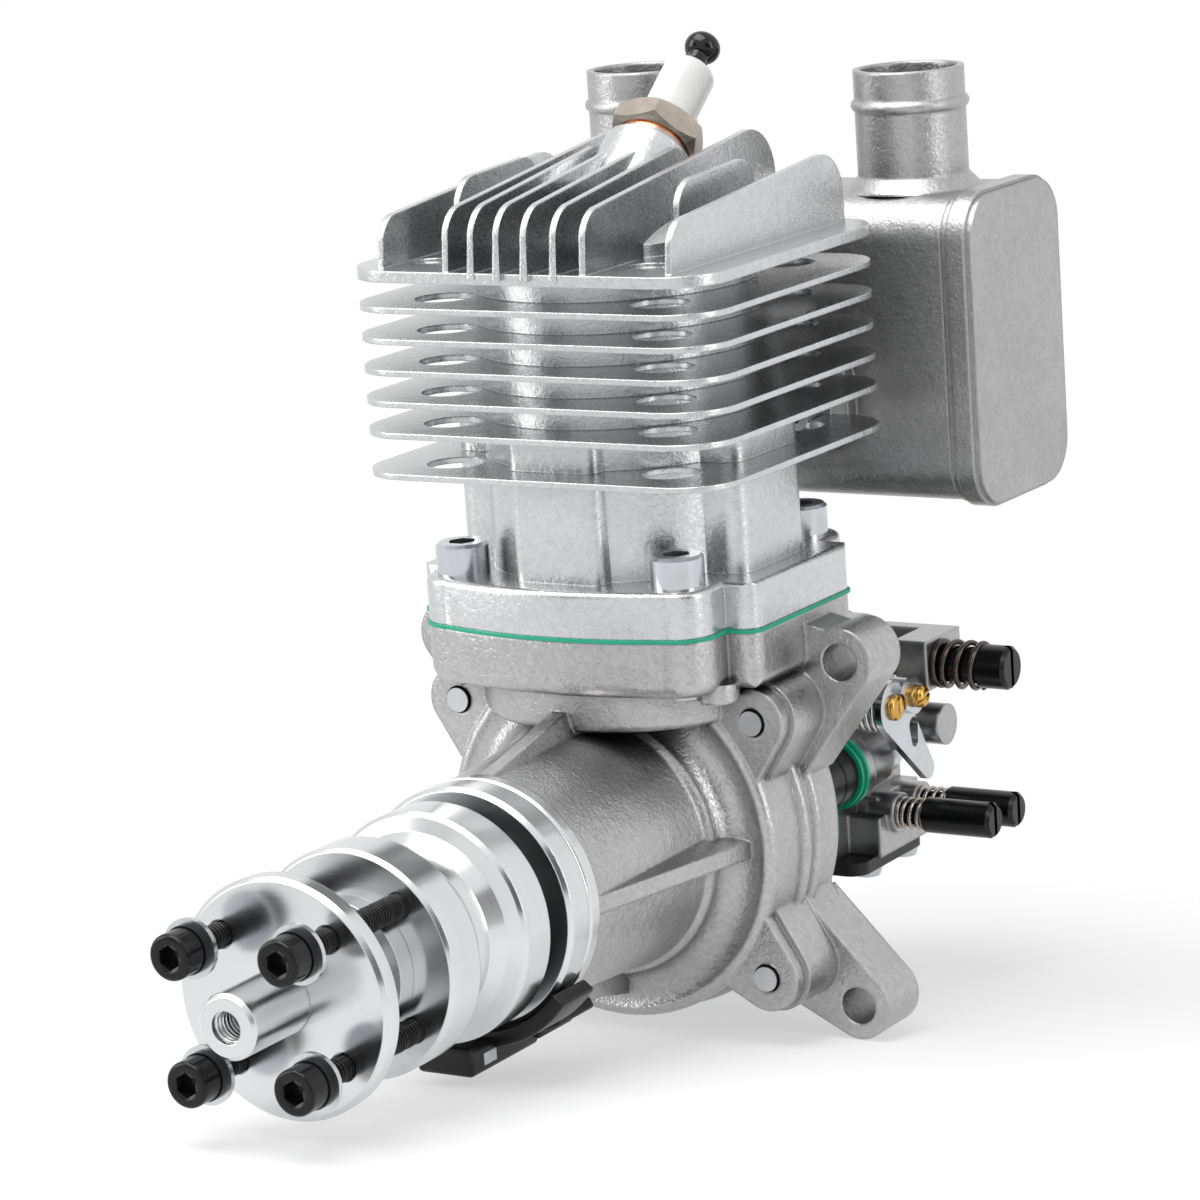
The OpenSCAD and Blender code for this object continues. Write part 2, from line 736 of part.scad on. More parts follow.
module bearing_inner_rings() {
  color("#c4c7ca") each_bearing() difference() {
    ring_y(0, race_r, shaft_d / 2, bearing_w);
    turn_y() translate([ball_circle_r, bearing_w / 2]) circle(ball_r + 0.05);
  }
}

module bearing_balls() {
  color("#dfe2e5") each_bearing() for (i = [0:ball_count - 1]) rotate([0, 360 * i / ball_count, 0])
    translate([ball_circle_r, bearing_w / 2, 0]) sphere(ball_r, $fn = 24);
}

// The pickup holder hugs the collar from below and carries the pickup block under the hub.
pickup_z = -holder_r - 0.2;
pickup_front_y = collar_front_y - 13.6;

module arc_sector(y, length, r0, thick, a0, a1) {
  rotate([-90, -a1, 0]) translate([0, 0, y]) rotate_extrude(angle = a1 - a0) translate([r0, 0]) square([thick, length]);
}

module pickup_holder() {
  color("#1f1f21") difference() {
    union() {
      arc_sector(collar_front_y + 0.2, collar_length + 3.4, holder_r, holder_t, -135, -38);
      arc_sector(nose_front_y + 2, 12, nose_root_r - 0.2, holder_t - 0.6, -74, -46);
      translate([-pickup_width / 2, pickup_front_y, pickup_z - 5.2])
        cube([pickup_width, pickup_length, 5.2]);
      plate_x(-2, 9) polygon([
        [pickup_front_y + pickup_length - 6, pickup_z - 5.2], [pickup_front_y + pickup_length - 6, pickup_z - 1],
        [nose_front_y + 4, pickup_z - 1], [nose_front_y + 4, pickup_z - 3]]);
    }
    translate([pickup_width / 2 - 0.6, pickup_front_y + 7, pickup_z - 3.8]) cube([2, 4.4, 2.6]);
  }
}

module pickup_window() {
  color("#c8ccd0") translate([pickup_width / 2 - 0.6, pickup_front_y + 7.1, pickup_z - 3.7]) cube([0.5, 4.2, 2.4]);
}

// Cylinder

module barrel_outline() {
  circle(barrel_d / 2, $fn = 64);
  round_rect(2 * pad_reach, pad_width, 3.5);
  round_rect(front_pad_width, 2 * front_pad_reach, 2.5);
}

module fin_outline() {
  difference() {
    translate([0, cyl_y]) round_rect(fin_length, fin_depth, fin_corner);
    for (sx = [-1, 1], sy = [-1, 1])
      translate([sx * base_screw_x, cyl_y + sy * base_screw_y]) circle(key_hole_d / 2);
  }
}

fin_tops = concat([lowest_fin_z, second_fin_z], [for (i = [1:4]) second_fin_z + i * fin_pitch]);
fin_back_y = cyl_y + fin_depth / 2;
fin_front_y = cyl_y - fin_depth / 2;
head_rise = 9.8;

// Side outline of a head fin on the plate: a round at each end of its crest, and its sides down
// to the plate. The foot says how far a side leans out below its round.
module fin_side(front, front_rise, front_r, back, back_rise, back_r, front_foot = 0.6, back_foot = 0.2) {
  low_z = head_plate_z - 1;
  front_z = head_plate_z + front_rise - front_r;
  back_z = head_plate_z + back_rise - back_r;
  link([front + front_r, front_z], front_r, [back - back_r, back_z], back_r);
  polygon([[front - front_foot, low_z], [front + 0.02, front_z],
           [back - 0.02, back_z], [back + back_foot, low_z]]);
}

module head_fin(x) {
  plate_x(x - head_fin_t / 2, head_fin_t) children();
}

module at_plug() {
  translate([0, plug_y, plug_seat_z]) rotate([-plug_tilt, 0, 0]) children();
}

module head_fins() {
  gap_end = cyl_y + 10;
  for (s = [-1, 1]) {
    head_fin(s * head_fin_pitch / 2) fin_side(fin_front_y - 0.1, 10.4, 5.5, gap_end - 1, 14.5, 3);
    head_fin(s * head_fin_pitch * 1.5) fin_side(fin_front_y + 0.4, 10.2, 5.5, gap_end, 14.4, 3);
    head_fin(s * head_fin_pitch * 2.5) fin_side(fin_front_y + 0.9, 9.8, 5, fin_back_y - 0.3, 15.2, 8);
    head_fin(s * short_fin_x) fin_side(cyl_y - 13.8, 12.1, 5, cyl_y + 9.7, 12.8, 4);
    head_fin(s * outer_fin_x) fin_side(fin_front_y + 3.3, 8, 4.6, fin_back_y - 2.9, 11.5, 7);
  }
}

module exhaust_flange(y, t) {
  translate([0, 0, exhaust_z]) plate_y(y, t)
    round_rect(2 * exhaust_half_x, 2 * exhaust_half_z, 5);
}

module cylinder_solid() {
  translate([0, cyl_y, flange_top_z - 1]) linear_extrude(lowest_fin_z - flange_top_z + 1) barrel_outline();
  translate([0, cyl_y, lowest_fin_z - 1]) cylinder(h = head_plate_z - lowest_fin_z, r = barrel_d / 2, $fn = 64);
  translate([0, cyl_y, lowest_fin_z - 1]) linear_extrude(second_fin_z - lowest_fin_z) barrel_outline();
  translate([0, cyl_y, flange_top_z]) mirror([0, 0, 1])
    soft_flange(flange_top_z - deck_z - base_gasket_t / 2, flange_edge_r);
  translate([0, cyl_y, spigot_z]) cylinder(h = deck_z - spigot_z + 1, r = spigot_r);
  for (z = fin_tops) translate([0, 0, z - fin_thickness]) linear_extrude(fin_thickness) fin_outline();
  translate([0, 0, head_plate_z - head_plate_t]) linear_extrude(head_plate_t)
    translate([0, cyl_y]) round_rect(fin_length, fin_depth, fin_corner);
  head_fins();
  // Dome over the combustion chamber and the boss of the plug
  intersection() {
    translate([0, cyl_y, chamber_centre_z]) sphere(chamber_sphere_r + head_wall, $fn = 64);
    rod_z(0, cyl_y, head_plate_z - 2, 18, 20);
  }
  at_plug() translate([0, 0, -13]) cylinder(h = 13, r = plug_boss_r);
  // Exhaust duct and its flange
  translate([0, (cyl_y + exhaust_y) / 2, exhaust_z])
    cube([2 * port_half_x + 6, exhaust_y - cyl_y, 2 * port_half_z + 6], center = true);
  exhaust_flange(exhaust_y - 5, 5);
}

module cylinder_cuts() {
  rod_z(0, cyl_y, spigot_z - 1, bore_r, bore_end_z - spigot_z - 1);
  intersection() {
    rod_z(0, cyl_y, chamber_centre_z + 4, bore_r, 60);
    translate([0, cyl_y, chamber_centre_z]) sphere(chamber_sphere_r, $fn = 64);
  }
  each_base_screw() translate([0, 0, deck_z - 2]) cylinder(h = 14, r = base_thread_d / 2 + screw_fit);
  each_base_screw() translate([0, 0, flange_top_z]) cylinder(h = 17, r = key_hole_d / 2);
  // Transfer passages behind the side pads
  for (s = [-1, 1]) translate([s * (bore_r + pad_reach - 1.8) / 2, cyl_y, (spigot_z + lowest_fin_z) / 2])
    cube([pad_reach - 1.8 - bore_r + 2, 2 * pocket_half_w, lowest_fin_z - spigot_z - 1], center = true);
  // Exhaust port
  translate([0, exhaust_y / 2 + 4, exhaust_z])
    cube([2 * port_half_x, exhaust_y - 2, 2 * port_half_z], center = true);
  for (s = [-1, 1]) rod_y(s * exhaust_screw_x, exhaust_y - 9, exhaust_z, 2 + screw_fit, 12);
  for (s = [-1, 1]) rod_y(s * exhaust_screw_x, 8, exhaust_z, 3.7, exhaust_y - 5 - 8);
  at_plug() translate([0, 0, -plug_reach - 6]) cylinder(h = plug_reach + 8, r = plug_thread_r + run_fit);
  // Shallow oval sinks in the head plate over the front screws
  for (s = [-1, 1]) translate([s * base_screw_x, cyl_y - base_screw_y, head_plate_z - 0.7])
    linear_extrude(3) link([-2, 0], 3, [2, 0], 3);
}

module cylinder_casting() {
  color("#c7c6c3") difference() {
    cylinder_solid();
    cylinder_cuts();
  }
}

module base_gasket() {
  color("#1fa37a") translate([0, 0, deck_z - base_gasket_t / 2]) linear_extrude(base_gasket_t) difference() {
    flange_outline(0.35);
    translate([0, cyl_y]) circle(case_mouth_r);
    translate([0, cyl_y]) square([2 * pocket_reach, 2 * pocket_half_w], center = true);
    for (sx = [-1, 1], sy = [-1, 1])
      translate([sx * base_screw_x, cyl_y + sy * base_screw_y]) circle(base_thread_d / 2 + screw_fit);
  }
}

module base_screws() {
  color("#ccd0d4") each_base_screw() translate([0, 0, flange_top_z])
    cap_screw(base_thread_d, flange_top_z - deck_z + 10, base_head_d);
}

// Spark plug

module plug_shell() {
  color("#a39b90") at_plug() difference() {
    union() {
      translate([0, 0, plug_ring_t]) rotate(plug_hex_turn) intersection() {
        cylinder(h = plug_hex_h, r = plug_hex / sqrt(3), $fn = 6);
        rotate_extrude($fn = 64) polygon([[0, 0], [plug_hex / 2 - 0.6, 0], [plug_hex * 0.6, 1.2],
          [plug_hex * 0.6, plug_hex_h - 0.9], [plug_hex / 2, plug_hex_h], [0, plug_hex_h]]);
      }
      cylinder(h = plug_band_t, r = plug_band_r);
      translate([0, 0, -plug_reach]) cylinder(h = plug_reach + 2, r = plug_thread_r);
    }
    translate([0, 0, -plug_reach - 1]) cylinder(h = plug_reach + 20, r = 3 + run_fit);
    translate([0, 0, plug_ring_t + 1]) cylinder(h = 20, r = insulator_d / 2 + run_fit);
  }
}

module plug_gasket() {
  color("#b06a3c") at_plug() rotate_extrude() translate([plug_thread_r + 0.1, plug_band_t])
    square([plug_band_r - plug_thread_r - 0.3, plug_ring_t - plug_band_t]);
}

module plug_insulator() {
  r = insulator_d / 2;
  top = plug_top + insulator_length;
  color("white") at_plug() rotate_extrude() difference() {
    union() {
      translate([0, plug_ring_t + 1]) square([r - 0.2, top - plug_ring_t - 4]);
      translate([0, plug_top + 0.5]) square([r, top - plug_top - 2.2]);
      translate([0, top - 2.4]) square([r - 1.8, 2.4]);
      translate([r - 1.8, top - 1.8]) circle(1.8);
      translate([0, 2 - plug_reach]) square([3, plug_reach + 1]);
    }
    translate([-10, -20]) square([10, 60]);
  }
}

module plug_terminal() {
  top = plug_top + insulator_length;
  color("#151515") at_plug() rotate_extrude() difference() {
    union() {
      translate([0, top]) square([2.4, 1]);
      translate([0, top + 0.9]) square([1.7, 2.6]);
      translate([0.75, top + 4.8]) circle(2.2);
      translate([0, top + 2.6]) square([0.75, 4.4]);
    }
    translate([-10, 0]) square([10, 60]);
  }
}

// Exhaust

module exhaust_gasket() {
  color("#8d8f90") difference() {
    exhaust_flange(exhaust_y, exhaust_gasket_t);
    translate([0, exhaust_y, exhaust_z]) cube([2 * port_half_x, 3, 2 * port_half_z], center = true);
    for (s = [-1, 1]) rod_y(s * exhaust_screw_x, exhaust_y - 1, exhaust_z, 2 + screw_fit, 3);
  }
}

module muffler_outline(extra = 0) {
  translate([muffler_mid_y, muffler_mid_z])
    round_rect(muffler_depth + 2 * extra, muffler_height + 2 * extra, muffler_corner + extra);
}

module muffler_body() {
  face_y = exhaust_y + exhaust_gasket_t;
  color("#b4b3b0") difference() {
    union() {
      plate_x(-muffler_half_x, 2 * muffler_half_x) muffler_outline();
      for (s = [-1, 1]) translate([s * stack_x, muffler_mid_y, 0]) {
        rod_z(0, 0, muffler_top_z - 1, stack_d / 2, stack_top_z - muffler_top_z + 1);
        translate([0, 0, muffler_top_z - 0.1]) cylinder(h = 2.4, r1 = stack_d / 2 + 2.2, r2 = stack_d / 2);
        translate([0, 0, stack_top_z - 5.8]) rotate_extrude() translate([stack_d / 2 - 0.5, 0]) circle(1.1);
      }
      exhaust_flange(face_y, muffler_front_y - face_y + 1);
    }
    plate_x(-muffler_half_x - 1, 2 * muffler_half_x + 2) muffler_outline(-muffler_wall);
    for (s = [-1, 1]) rod_z(s * stack_x, muffler_mid_y, muffler_top_z - 5, stack_d / 2 - stack_wall, 60);
    translate([0, muffler_front_y - 1, exhaust_z]) cube([2 * port_half_x, 10, 2 * port_half_z], center = true);
    for (s = [-1, 1]) rod_y(s * exhaust_screw_x, face_y - 1, exhaust_z, 2, 8);
  }
}

module muffler_caps() {
  color("#b9b8b5") for (s = [0, 1]) mirror([s, 0, 0]) union() {
    plate_x(muffler_half_x, 1.2) muffler_outline(cap_proud - 0.5);
    plate_x(muffler_half_x + 1.2, cap_t - 2.2) muffler_outline(cap_proud);
    plate_x(muffler_half_x + cap_t - 1, 1) muffler_outline(cap_proud - 0.6);
  }
}

module muffler_screws() {
  color("#ccd0d4") for (s = [-1, 1]) translate([s * exhaust_screw_x, exhaust_y - 5, exhaust_z])
    rotate([90, 0, 0]) cap_screw(4, 5 + exhaust_gasket_t + 4, 7);
}

// Intake

module joint_outline(extra = 0) {
  for (s = [-1, 1]) link([s * carb_screw_x, 0], carb_ear_r + extra, [0, joint_rise], joint_r + extra);
}

module rear_gasket() {
  color("#1fa37a") plate_y(rear_gasket_y, rear_gasket_t) difference() {
    circle(drum_r - 0.3);
    translate([0, reed_z]) square(2 * [reed_half_x + reed_fit, reed_half_z + reed_fit], center = true);
    for (a = housing_screw_angles) translate(housing_screw_r * [cos(a), sin(a)]) circle(1.5 + screw_fit);
    for (s = [-1, 1]) {
      translate([s * case_screw_x, case_screw_top]) circle(case_boss_r);
      translate([s * case_screw_x, -case_screw_low]) circle(case_boss_r);
    }
  }
}

module reed_housing() {
  color("#1d1d1f") difference() {
    union() {
      rod_y(0, housing_y, 0, reed_flange_r, reed_flange_t);
      plate_y(duct_y - 0.5, joint_y - 4 - duct_y + 0.6) translate([0, 6.5]) round_rect(24, 23, 6);
      plate_y(joint_y - 4, 4) joint_outline(-0.7);
      for (s = [-1, 1]) rod_y(s * carb_screw_x, duct_y - 0.5, 0, carb_ear_r - 0.8, joint_y - duct_y + 0.5);
    }
    for (a = housing_screw_angles)
      rod_y(housing_screw_r * cos(a), housing_y - 1, housing_screw_r * sin(a), 1.5 + screw_fit, reed_flange_t + 2);
    // Chamber for the reed block, then the round inlet
    translate([0, housing_y + 6, reed_z])
      cube([2 * (reed_half_x + reed_fit), 14, 2 * (reed_half_z + reed_fit)], center = true);
    rod_y(0, housing_y, carb_bore_z, throat_d / 2, 40);
    for (s = [-1, 1]) rod_y(s * carb_screw_x, joint_y - 12, 0, 2.5, 20);
  }
}

reed_y0 = housing_y + 0.4;
reed_y1 = housing_y + 13;
reed_slope = atan2(reed_half_z - 2, reed_y1 - 2 - reed_y0);

// The reed block is a hollow wedge whose sloping faces carry the petals.
module reed_block() {
  color("#2a2a2c") difference() {
    plate_x(-reed_half_x, 2 * reed_half_x) translate([0, reed_z]) polygon([
      [reed_y0, -1], [reed_y0, 1], [reed_y1 - 2, reed_half_z - 1], [reed_y1 - 2, reed_half_z], [reed_y1, reed_half_z],
      [reed_y1, -reed_half_z], [reed_y1 - 2, -reed_half_z], [reed_y1 - 2, 1 - reed_half_z]]);
    plate_x(1.6 - reed_half_x, 2 * reed_half_x - 3.2) translate([0, reed_z]) polygon([
      [reed_y0 + 3, 0], [reed_y1 + 1, reed_half_z - 2.2], [reed_y1 + 1, 2.2 - reed_half_z]]);
    for (s = [-1, 1]) translate([s * 3.8, (reed_y0 + reed_y1) / 2 + 1, reed_z]) cube([5, 5, 30], center = true);
  }
}

module reed_petals() {
  color("#6d5a2e") for (s = [0, 1]) translate([0, 0, reed_z]) mirror([0, 0, s])
    translate([0.6 - reed_half_x, reed_y0, 1]) rotate([reed_slope, 0, 0])
      translate([0, 0.4, 0.03]) cube([2 * reed_half_x - 1.2, 10.6, 0.25]);
}

module housing_screws() {
  color("#ccd0d4") for (a = housing_screw_angles)
    translate([housing_screw_r * cos(a), duct_y, housing_screw_r * sin(a)])
      rotate([-90, 0, 0]) cap_screw(3, reed_flange_t + rear_gasket_t + case_wall - 0.4, 5.5);
}

module joint_plate(y, t, extra) {
  plate_y(y, t) difference() {
    joint_outline(extra);
    translate([0, carb_bore_z]) circle(throat_d / 2 + 0.5);
    for (s = [-1, 1]) translate([s * carb_screw_x, 0]) circle(2.5 + screw_fit);
  }
}

module carb_gaskets() {
  color("#1fa37a") {
    joint_plate(joint_y, carb_gasket_t, 0);
    joint_plate(carb_gasket_y, carb_gasket_t, 0.3);
  }
}

module heat_plate() {
  color("#c9ccd0") joint_plate(heat_plate_y, heat_plate_t, -0.2);
}

module carb_solid() {
  // Flange and ears
  plate_y(carb_y, 3) joint_outline();
  for (s = [-1, 1]) rod_y(s * carb_screw_x, carb_y, 0, carb_ear_r - 0.9, ear_boss_length);
  // Upper body round the throat, and the wider lower body
  translate([-upper_half_x, carb_y + 2, carb_bottom_z])
    cube([2 * upper_half_x, carb_length - 2, carb_top_z - carb_bottom_z]);
  translate([-carb_half_x, carb_y + 8.8, carb_bottom_z]) cube([2 * carb_half_x, carb_length - 9.8, 6.7]);
  translate([-carb_half_x + 2, carb_y + 12, carb_bottom_z + 6]) cube([2 * carb_half_x - 4, carb_length - 13.6, 3.4]);
  // Shaft bosses, and the blind stub under the idle screw
  rod_x(-upper_half_x - 3, throttle_y, carb_bore_z, 3.3, 2 * upper_half_x + 6);
  rod_x(-upper_half_x - 4, choke_y, carb_bore_z, 3.5, upper_half_x + 4);
  rod_x(0, carb_y + 22, 3.4, 3.5, bracket_x);
  // Needle bosses
  for (y = [needle_front_y, needle_rear_y]) rod_x(carb_half_x - 4, y, needle_z, 3.4, 5.2);
  // Arm of the idle stop
  translate([upper_half_x - 1, carb_back_y - 3, idle_z - 3.8]) cube([bracket_x - upper_half_x + 1, 3, 8.5]);
  translate([bracket_x - 6, carb_back_y - 12.2, idle_z - 3.8]) cube([6, 12.2, 8.5]);
  // Air filter flange at the rear
  rod_y(0, carb_back_y - 3, carb_bore_z - 0.4, 11.6, 3);
}

module carb_body() {
  color("#9a9b9c") difference() {
    carb_solid();
    rod_y(0, carb_y - 1, carb_bore_z, throat_d / 2, carb_length + 2);
    rod_x(-40, throttle_y, carb_bore_z, small_r + run_fit, 80);
    rod_x(-40, choke_y, carb_bore_z, choke_shaft_r + run_fit, 50);
    for (s = [-1, 1]) {
      rod_y(s * carb_screw_x, carb_y - 1, 0, 2.5 + screw_fit, 20);
      rod_y(s * carb_screw_x, carb_y + ear_boss_length, 0, 4.6, 9);
    }
    for (y = [needle_front_y, needle_rear_y]) rod_x(6, y, needle_z, screw_shank_r + run_fit, 30);
    rod_x(bracket_x - 8, idle_y, idle_z, screw_shank_r + run_fit, 10);
    // Clearance round the torsion spring
    difference() {
      rod_x(upper_half_x, throttle_y, carb_bore_z, throttle_spring_r + throttle_wire_r + face_gap, 12);
      rod_x(upper_half_x - 1, throttle_y, carb_bore_z, 3.3, 4);
    }
  }
}

module cover_outline(y0, y1, half_x, r) {
  translate([0, (y0 + y1) / 2]) round_rect(2 * half_x, y1 - y0, r);
}

module pump_cover() {
  color("#8f9091") translate([0, 0, carb_top_z]) difference() {
    linear_extrude(2.6) cover_outline(carb_y + 1.5, carb_back_y - 4, upper_half_x - 0.4, 3);
    translate([0, (carb_y + carb_back_y) / 2, -1]) cylinder(h = 10, r = 1.5 + screw_fit);
  }
}

module metering_cover() {
  color("#1d1d1f") translate([0, 0, carb_bottom_z - 2.2]) difference() {
    union() {
      linear_extrude(2.2) cover_outline(carb_y + 3.5, carb_back_y - 1, carb_half_x - 1.2, 3);
      translate([0, 0, -1]) linear_extrude(1.2) cover_outline(carb_y + 7, carb_back_y - 5, carb_half_x - 7.4, 4);
    }
    for (sx = [-1, 1], y = [carb_y + 11, carb_back_y - 4])
      translate([sx * (carb_half_x - 4), y, -2]) cylinder(h = 6, r = 1.5 + screw_fit);
  }
}

module cover_screws() {
  color("#ccd0d4") {
    translate([0, (carb_y + carb_back_y) / 2, carb_top_z + 2.6]) {
      translate([0, 0, -2.6]) cylinder(h = 2.7, r = 1.5);
      difference() {
        cylinder(h = 1.8, r1 = 2.8, r2 = 2.2);
        translate([0, 0, 1.6]) cube([8, 0.9, 1.4], center = true);
      }
    }
    for (sx = [-1, 1], y = [carb_y + 11, carb_back_y - 4])
      translate([sx * (carb_half_x - 4), y, carb_bottom_z - 2.2]) {
        cylinder(h = 2.2, r = 1.5);
        translate([0, 0, -1.6]) cylinder(h = 1.6, r1 = 2.1, r2 = 2.7);
      }
  }
}

module carb_screws() {
  color("#ccd0d4") for (s = [-1, 1]) translate([s * carb_screw_x, carb_y + ear_boss_length, 0])
    rotate([-90, 0, 0]) cap_screw(5, carb_y + ear_boss_length - joint_y + 10, 8.5);
}

module fuel_inlet() {
  color("#b9bbbd") translate([-carb_half_x, needle_front_y + 2, carb_bottom_z + 5]) rotate([0, -90, 0]) difference() {
    union() {
      cylinder(h = 12, r = 2.1);
      cylinder(h = 1.6, r = 3.6);
      translate([0, 0, 9]) cylinder(h = 2, r1 = 2.6, r2 = 2.1);
    }
    translate([0, 0, 2]) cylinder(h = 20, r = 1.2);
  }
}

// Throttle

// Places a shape on the axis of the throttle, turned to its closed rest.
module at_throttle() {
  translate([0, throttle_y, carb_bore_z]) rotate([closed_angle, 0, 0]) children();
}

module throttle_shaft() {
  color("#c9ccd0") difference() {
    rod_x(-upper_half_x - 5.5, throttle_y, carb_bore_z, small_r, lever_x + upper_half_x + 5.5);
    at_throttle() translate([-throat_d / 2 - 0.5, -3, -0.45]) cube([throat_d + 1, 6, 3]);
  }
}

module throttle_plate() {
  color("#c4a24e") at_throttle() translate([0, 0, -0.45]) cylinder(h = 0.7, r = throat_d / 2 - 0.25);
}

lever_tip = [throttle_y + lever_reach * 0.643, carb_bore_z - lever_reach * 0.766];
swivel = [throttle_y + 6, carb_bore_z + 0.6];

module throttle_lever() {
  color("#b9c0c6") difference() {
    union() {
      plate_x(lever_x, lever_t) link([throttle_y, carb_bore_z], 4.6, lever_tip, 1.8);
      plate_x(lever_x, lever_t + 1) link([throttle_y + 3.6, carb_bore_z + 1.6], 2.8, swivel, 3);
    }
    rod_x(lever_x - 1, throttle_y, carb_bore_z, 1.1, 5);
    rod_x(lever_x + lever_t, throttle_y, carb_bore_z, 2.4, 5);
    plate_x(lever_x - 1, 5) link([throttle_y + 6.4, carb_bore_z - 4.6], 1.5, [throttle_y + 6.6, carb_bore_z - 7.2], 1.1);
    rod_x(lever_x - 1, swivel[0], swivel[1], 1.4, 5);
  }
}

module throttle_screws() {
  color("#c89a3a") {
    difference() {
      union() {
        rod_x(lever_x + lever_t, throttle_y, carb_bore_z, 2.1, 1);
        rod_x(lever_x, throttle_y, carb_bore_z, 1.1, lever_t + 0.5);
      }
      translate([lever_x + lever_t + 1, throttle_y, carb_bore_z]) cube([0.8, 0.7, 8], center = true);
    }
    difference() {
      union() {
        rod_x(lever_x + lever_t + 1, swivel[0], swivel[1], 2.1, 2.4);
        rod_x(lever_x - 0.6, swivel[0], swivel[1], 1.4, lever_t + 2);
      }
      rod_z(lever_x + lever_t + 2.2, swivel[0], swivel[1] - 4, 0.6, 8);
    }
  }
}

module throttle_spring() {
  color("#d6d6d2") translate([upper_half_x + 0.8, throttle_y, carb_bore_z])
    coil_x(lever_x - upper_half_x - 1.7, throttle_spring_r, throttle_wire_r, 6, 14);
}

// Choke

module choke_shaft() {
  color("#c9ccd0") difference() {
    rod_x(-upper_half_x - 7, choke_y, carb_bore_z, choke_shaft_r, 2 * upper_half_x + 4.6);
    translate([-throat_d / 2 - 0.5, choke_y - 3, carb_bore_z - 0.45]) cube([throat_d + 1, 6, 3]);
  }
}

module choke_plate() {
  color("#c4a24e") translate([0, choke_y, carb_bore_z - 0.45]) cylinder(h = 0.7, r = throat_d / 2 - 0.25);
}

module choke_lever() {
  color("#b9c0c6") plate_x(-upper_half_x - 7 - lever_t, lever_t)
    link([choke_y, carb_bore_z], 3.6, [choke_y + 2, carb_bore_z + 13], 2.2);
}

// Adjusting screws

module slotted_screw(x0, y, z, cap_x, cap_len, cap_r) {
  difference() {
    union() {
      rod_x(x0, y, z, screw_shank_r, cap_x - x0 + 1);
      rod_x(cap_x, y, z, cap_r, cap_len - 0.6);
      translate([cap_x + cap_len - 0.6, y, z]) rotate([0, 90, 0]) cylinder(h = 0.6, r1 = cap_r, r2 = cap_r - 0.6);
      children();
    }
    translate([cap_x + cap_len, y, z]) cube([2.4, 1, 2 * cap_r + 1], center = true);
  }
}

idle_neck = 8;
idle_cap_x = bracket_x + idle_neck;
idle_cap_length = 5.4;
idle_cap_r = 3.7;
needle_neck = 5;
needle_start_x = 8;
needle_cap_x = carb_half_x + 1.2 + needle_neck;
needle_cap_length = 12.6;
needle_cap_r = 3;

module idle_screw() {
  color("#141414") slotted_screw(bracket_x - 9, idle_y, idle_z, idle_cap_x, idle_cap_length, idle_cap_r)
    rod_x(bracket_x + face_gap, idle_y, idle_z, idle_cap_r - 0.6, idle_neck);
}

module low_needle() {
  color("#141414")
    slotted_screw(needle_start_x, needle_front_y, needle_z, needle_cap_x, needle_cap_length, needle_cap_r);
}

module high_needle() {
  color("#141414")
    slotted_screw(needle_start_x, needle_rear_y, needle_z, needle_cap_x + 0.6, needle_cap_length, needle_cap_r);
}

module idle_spring() {
  color("#54504c") translate([bracket_x + 0.5, idle_y, idle_z]) coil_x(7, 3.75, 0.4, 4, 14);
}

module needle_springs() {
  color("#8a8078") for (y = [needle_front_y, needle_rear_y])
    translate([carb_half_x + 1.6, y, needle_z]) coil_x(4.2, 2.4, 0.3, 4, 12);
}

// Crankshaft and hub

module crankshaft() {
  color("#aeb2b6") {
    difference() {
      rod_y(0, web_front_y, 0, web_r, web_t);
      // The web is cut away beside the crank pin to balance it.
      for (s = [-1, 1]) rod_y(s * 19.4, web_front_y - 1, throw + 4, 10.5, web_t + 2);
    }
    rod_y(0, rear_bearing_y + bearing_w, 0, race_r, web_front_y - rear_bearing_y - bearing_w + 0.1);
    rod_y(0, cone_rear_y, 0, shaft_d / 2, web_front_y - cone_rear_y + 0.1);
    translate([0, cone_rear_y, 0]) rotate([90, 0, 0])
      cylinder(h = cone_rear_y - cone_front_y, r1 = shaft_d / 2, r2 = shaft_d / 2 - 1.4);
    rod_y(0, hub_front_y - stub_flange_t - 2, 0, stub_thread_r, cone_front_y - hub_front_y + stub_flange_t + 2.1);
  }
}

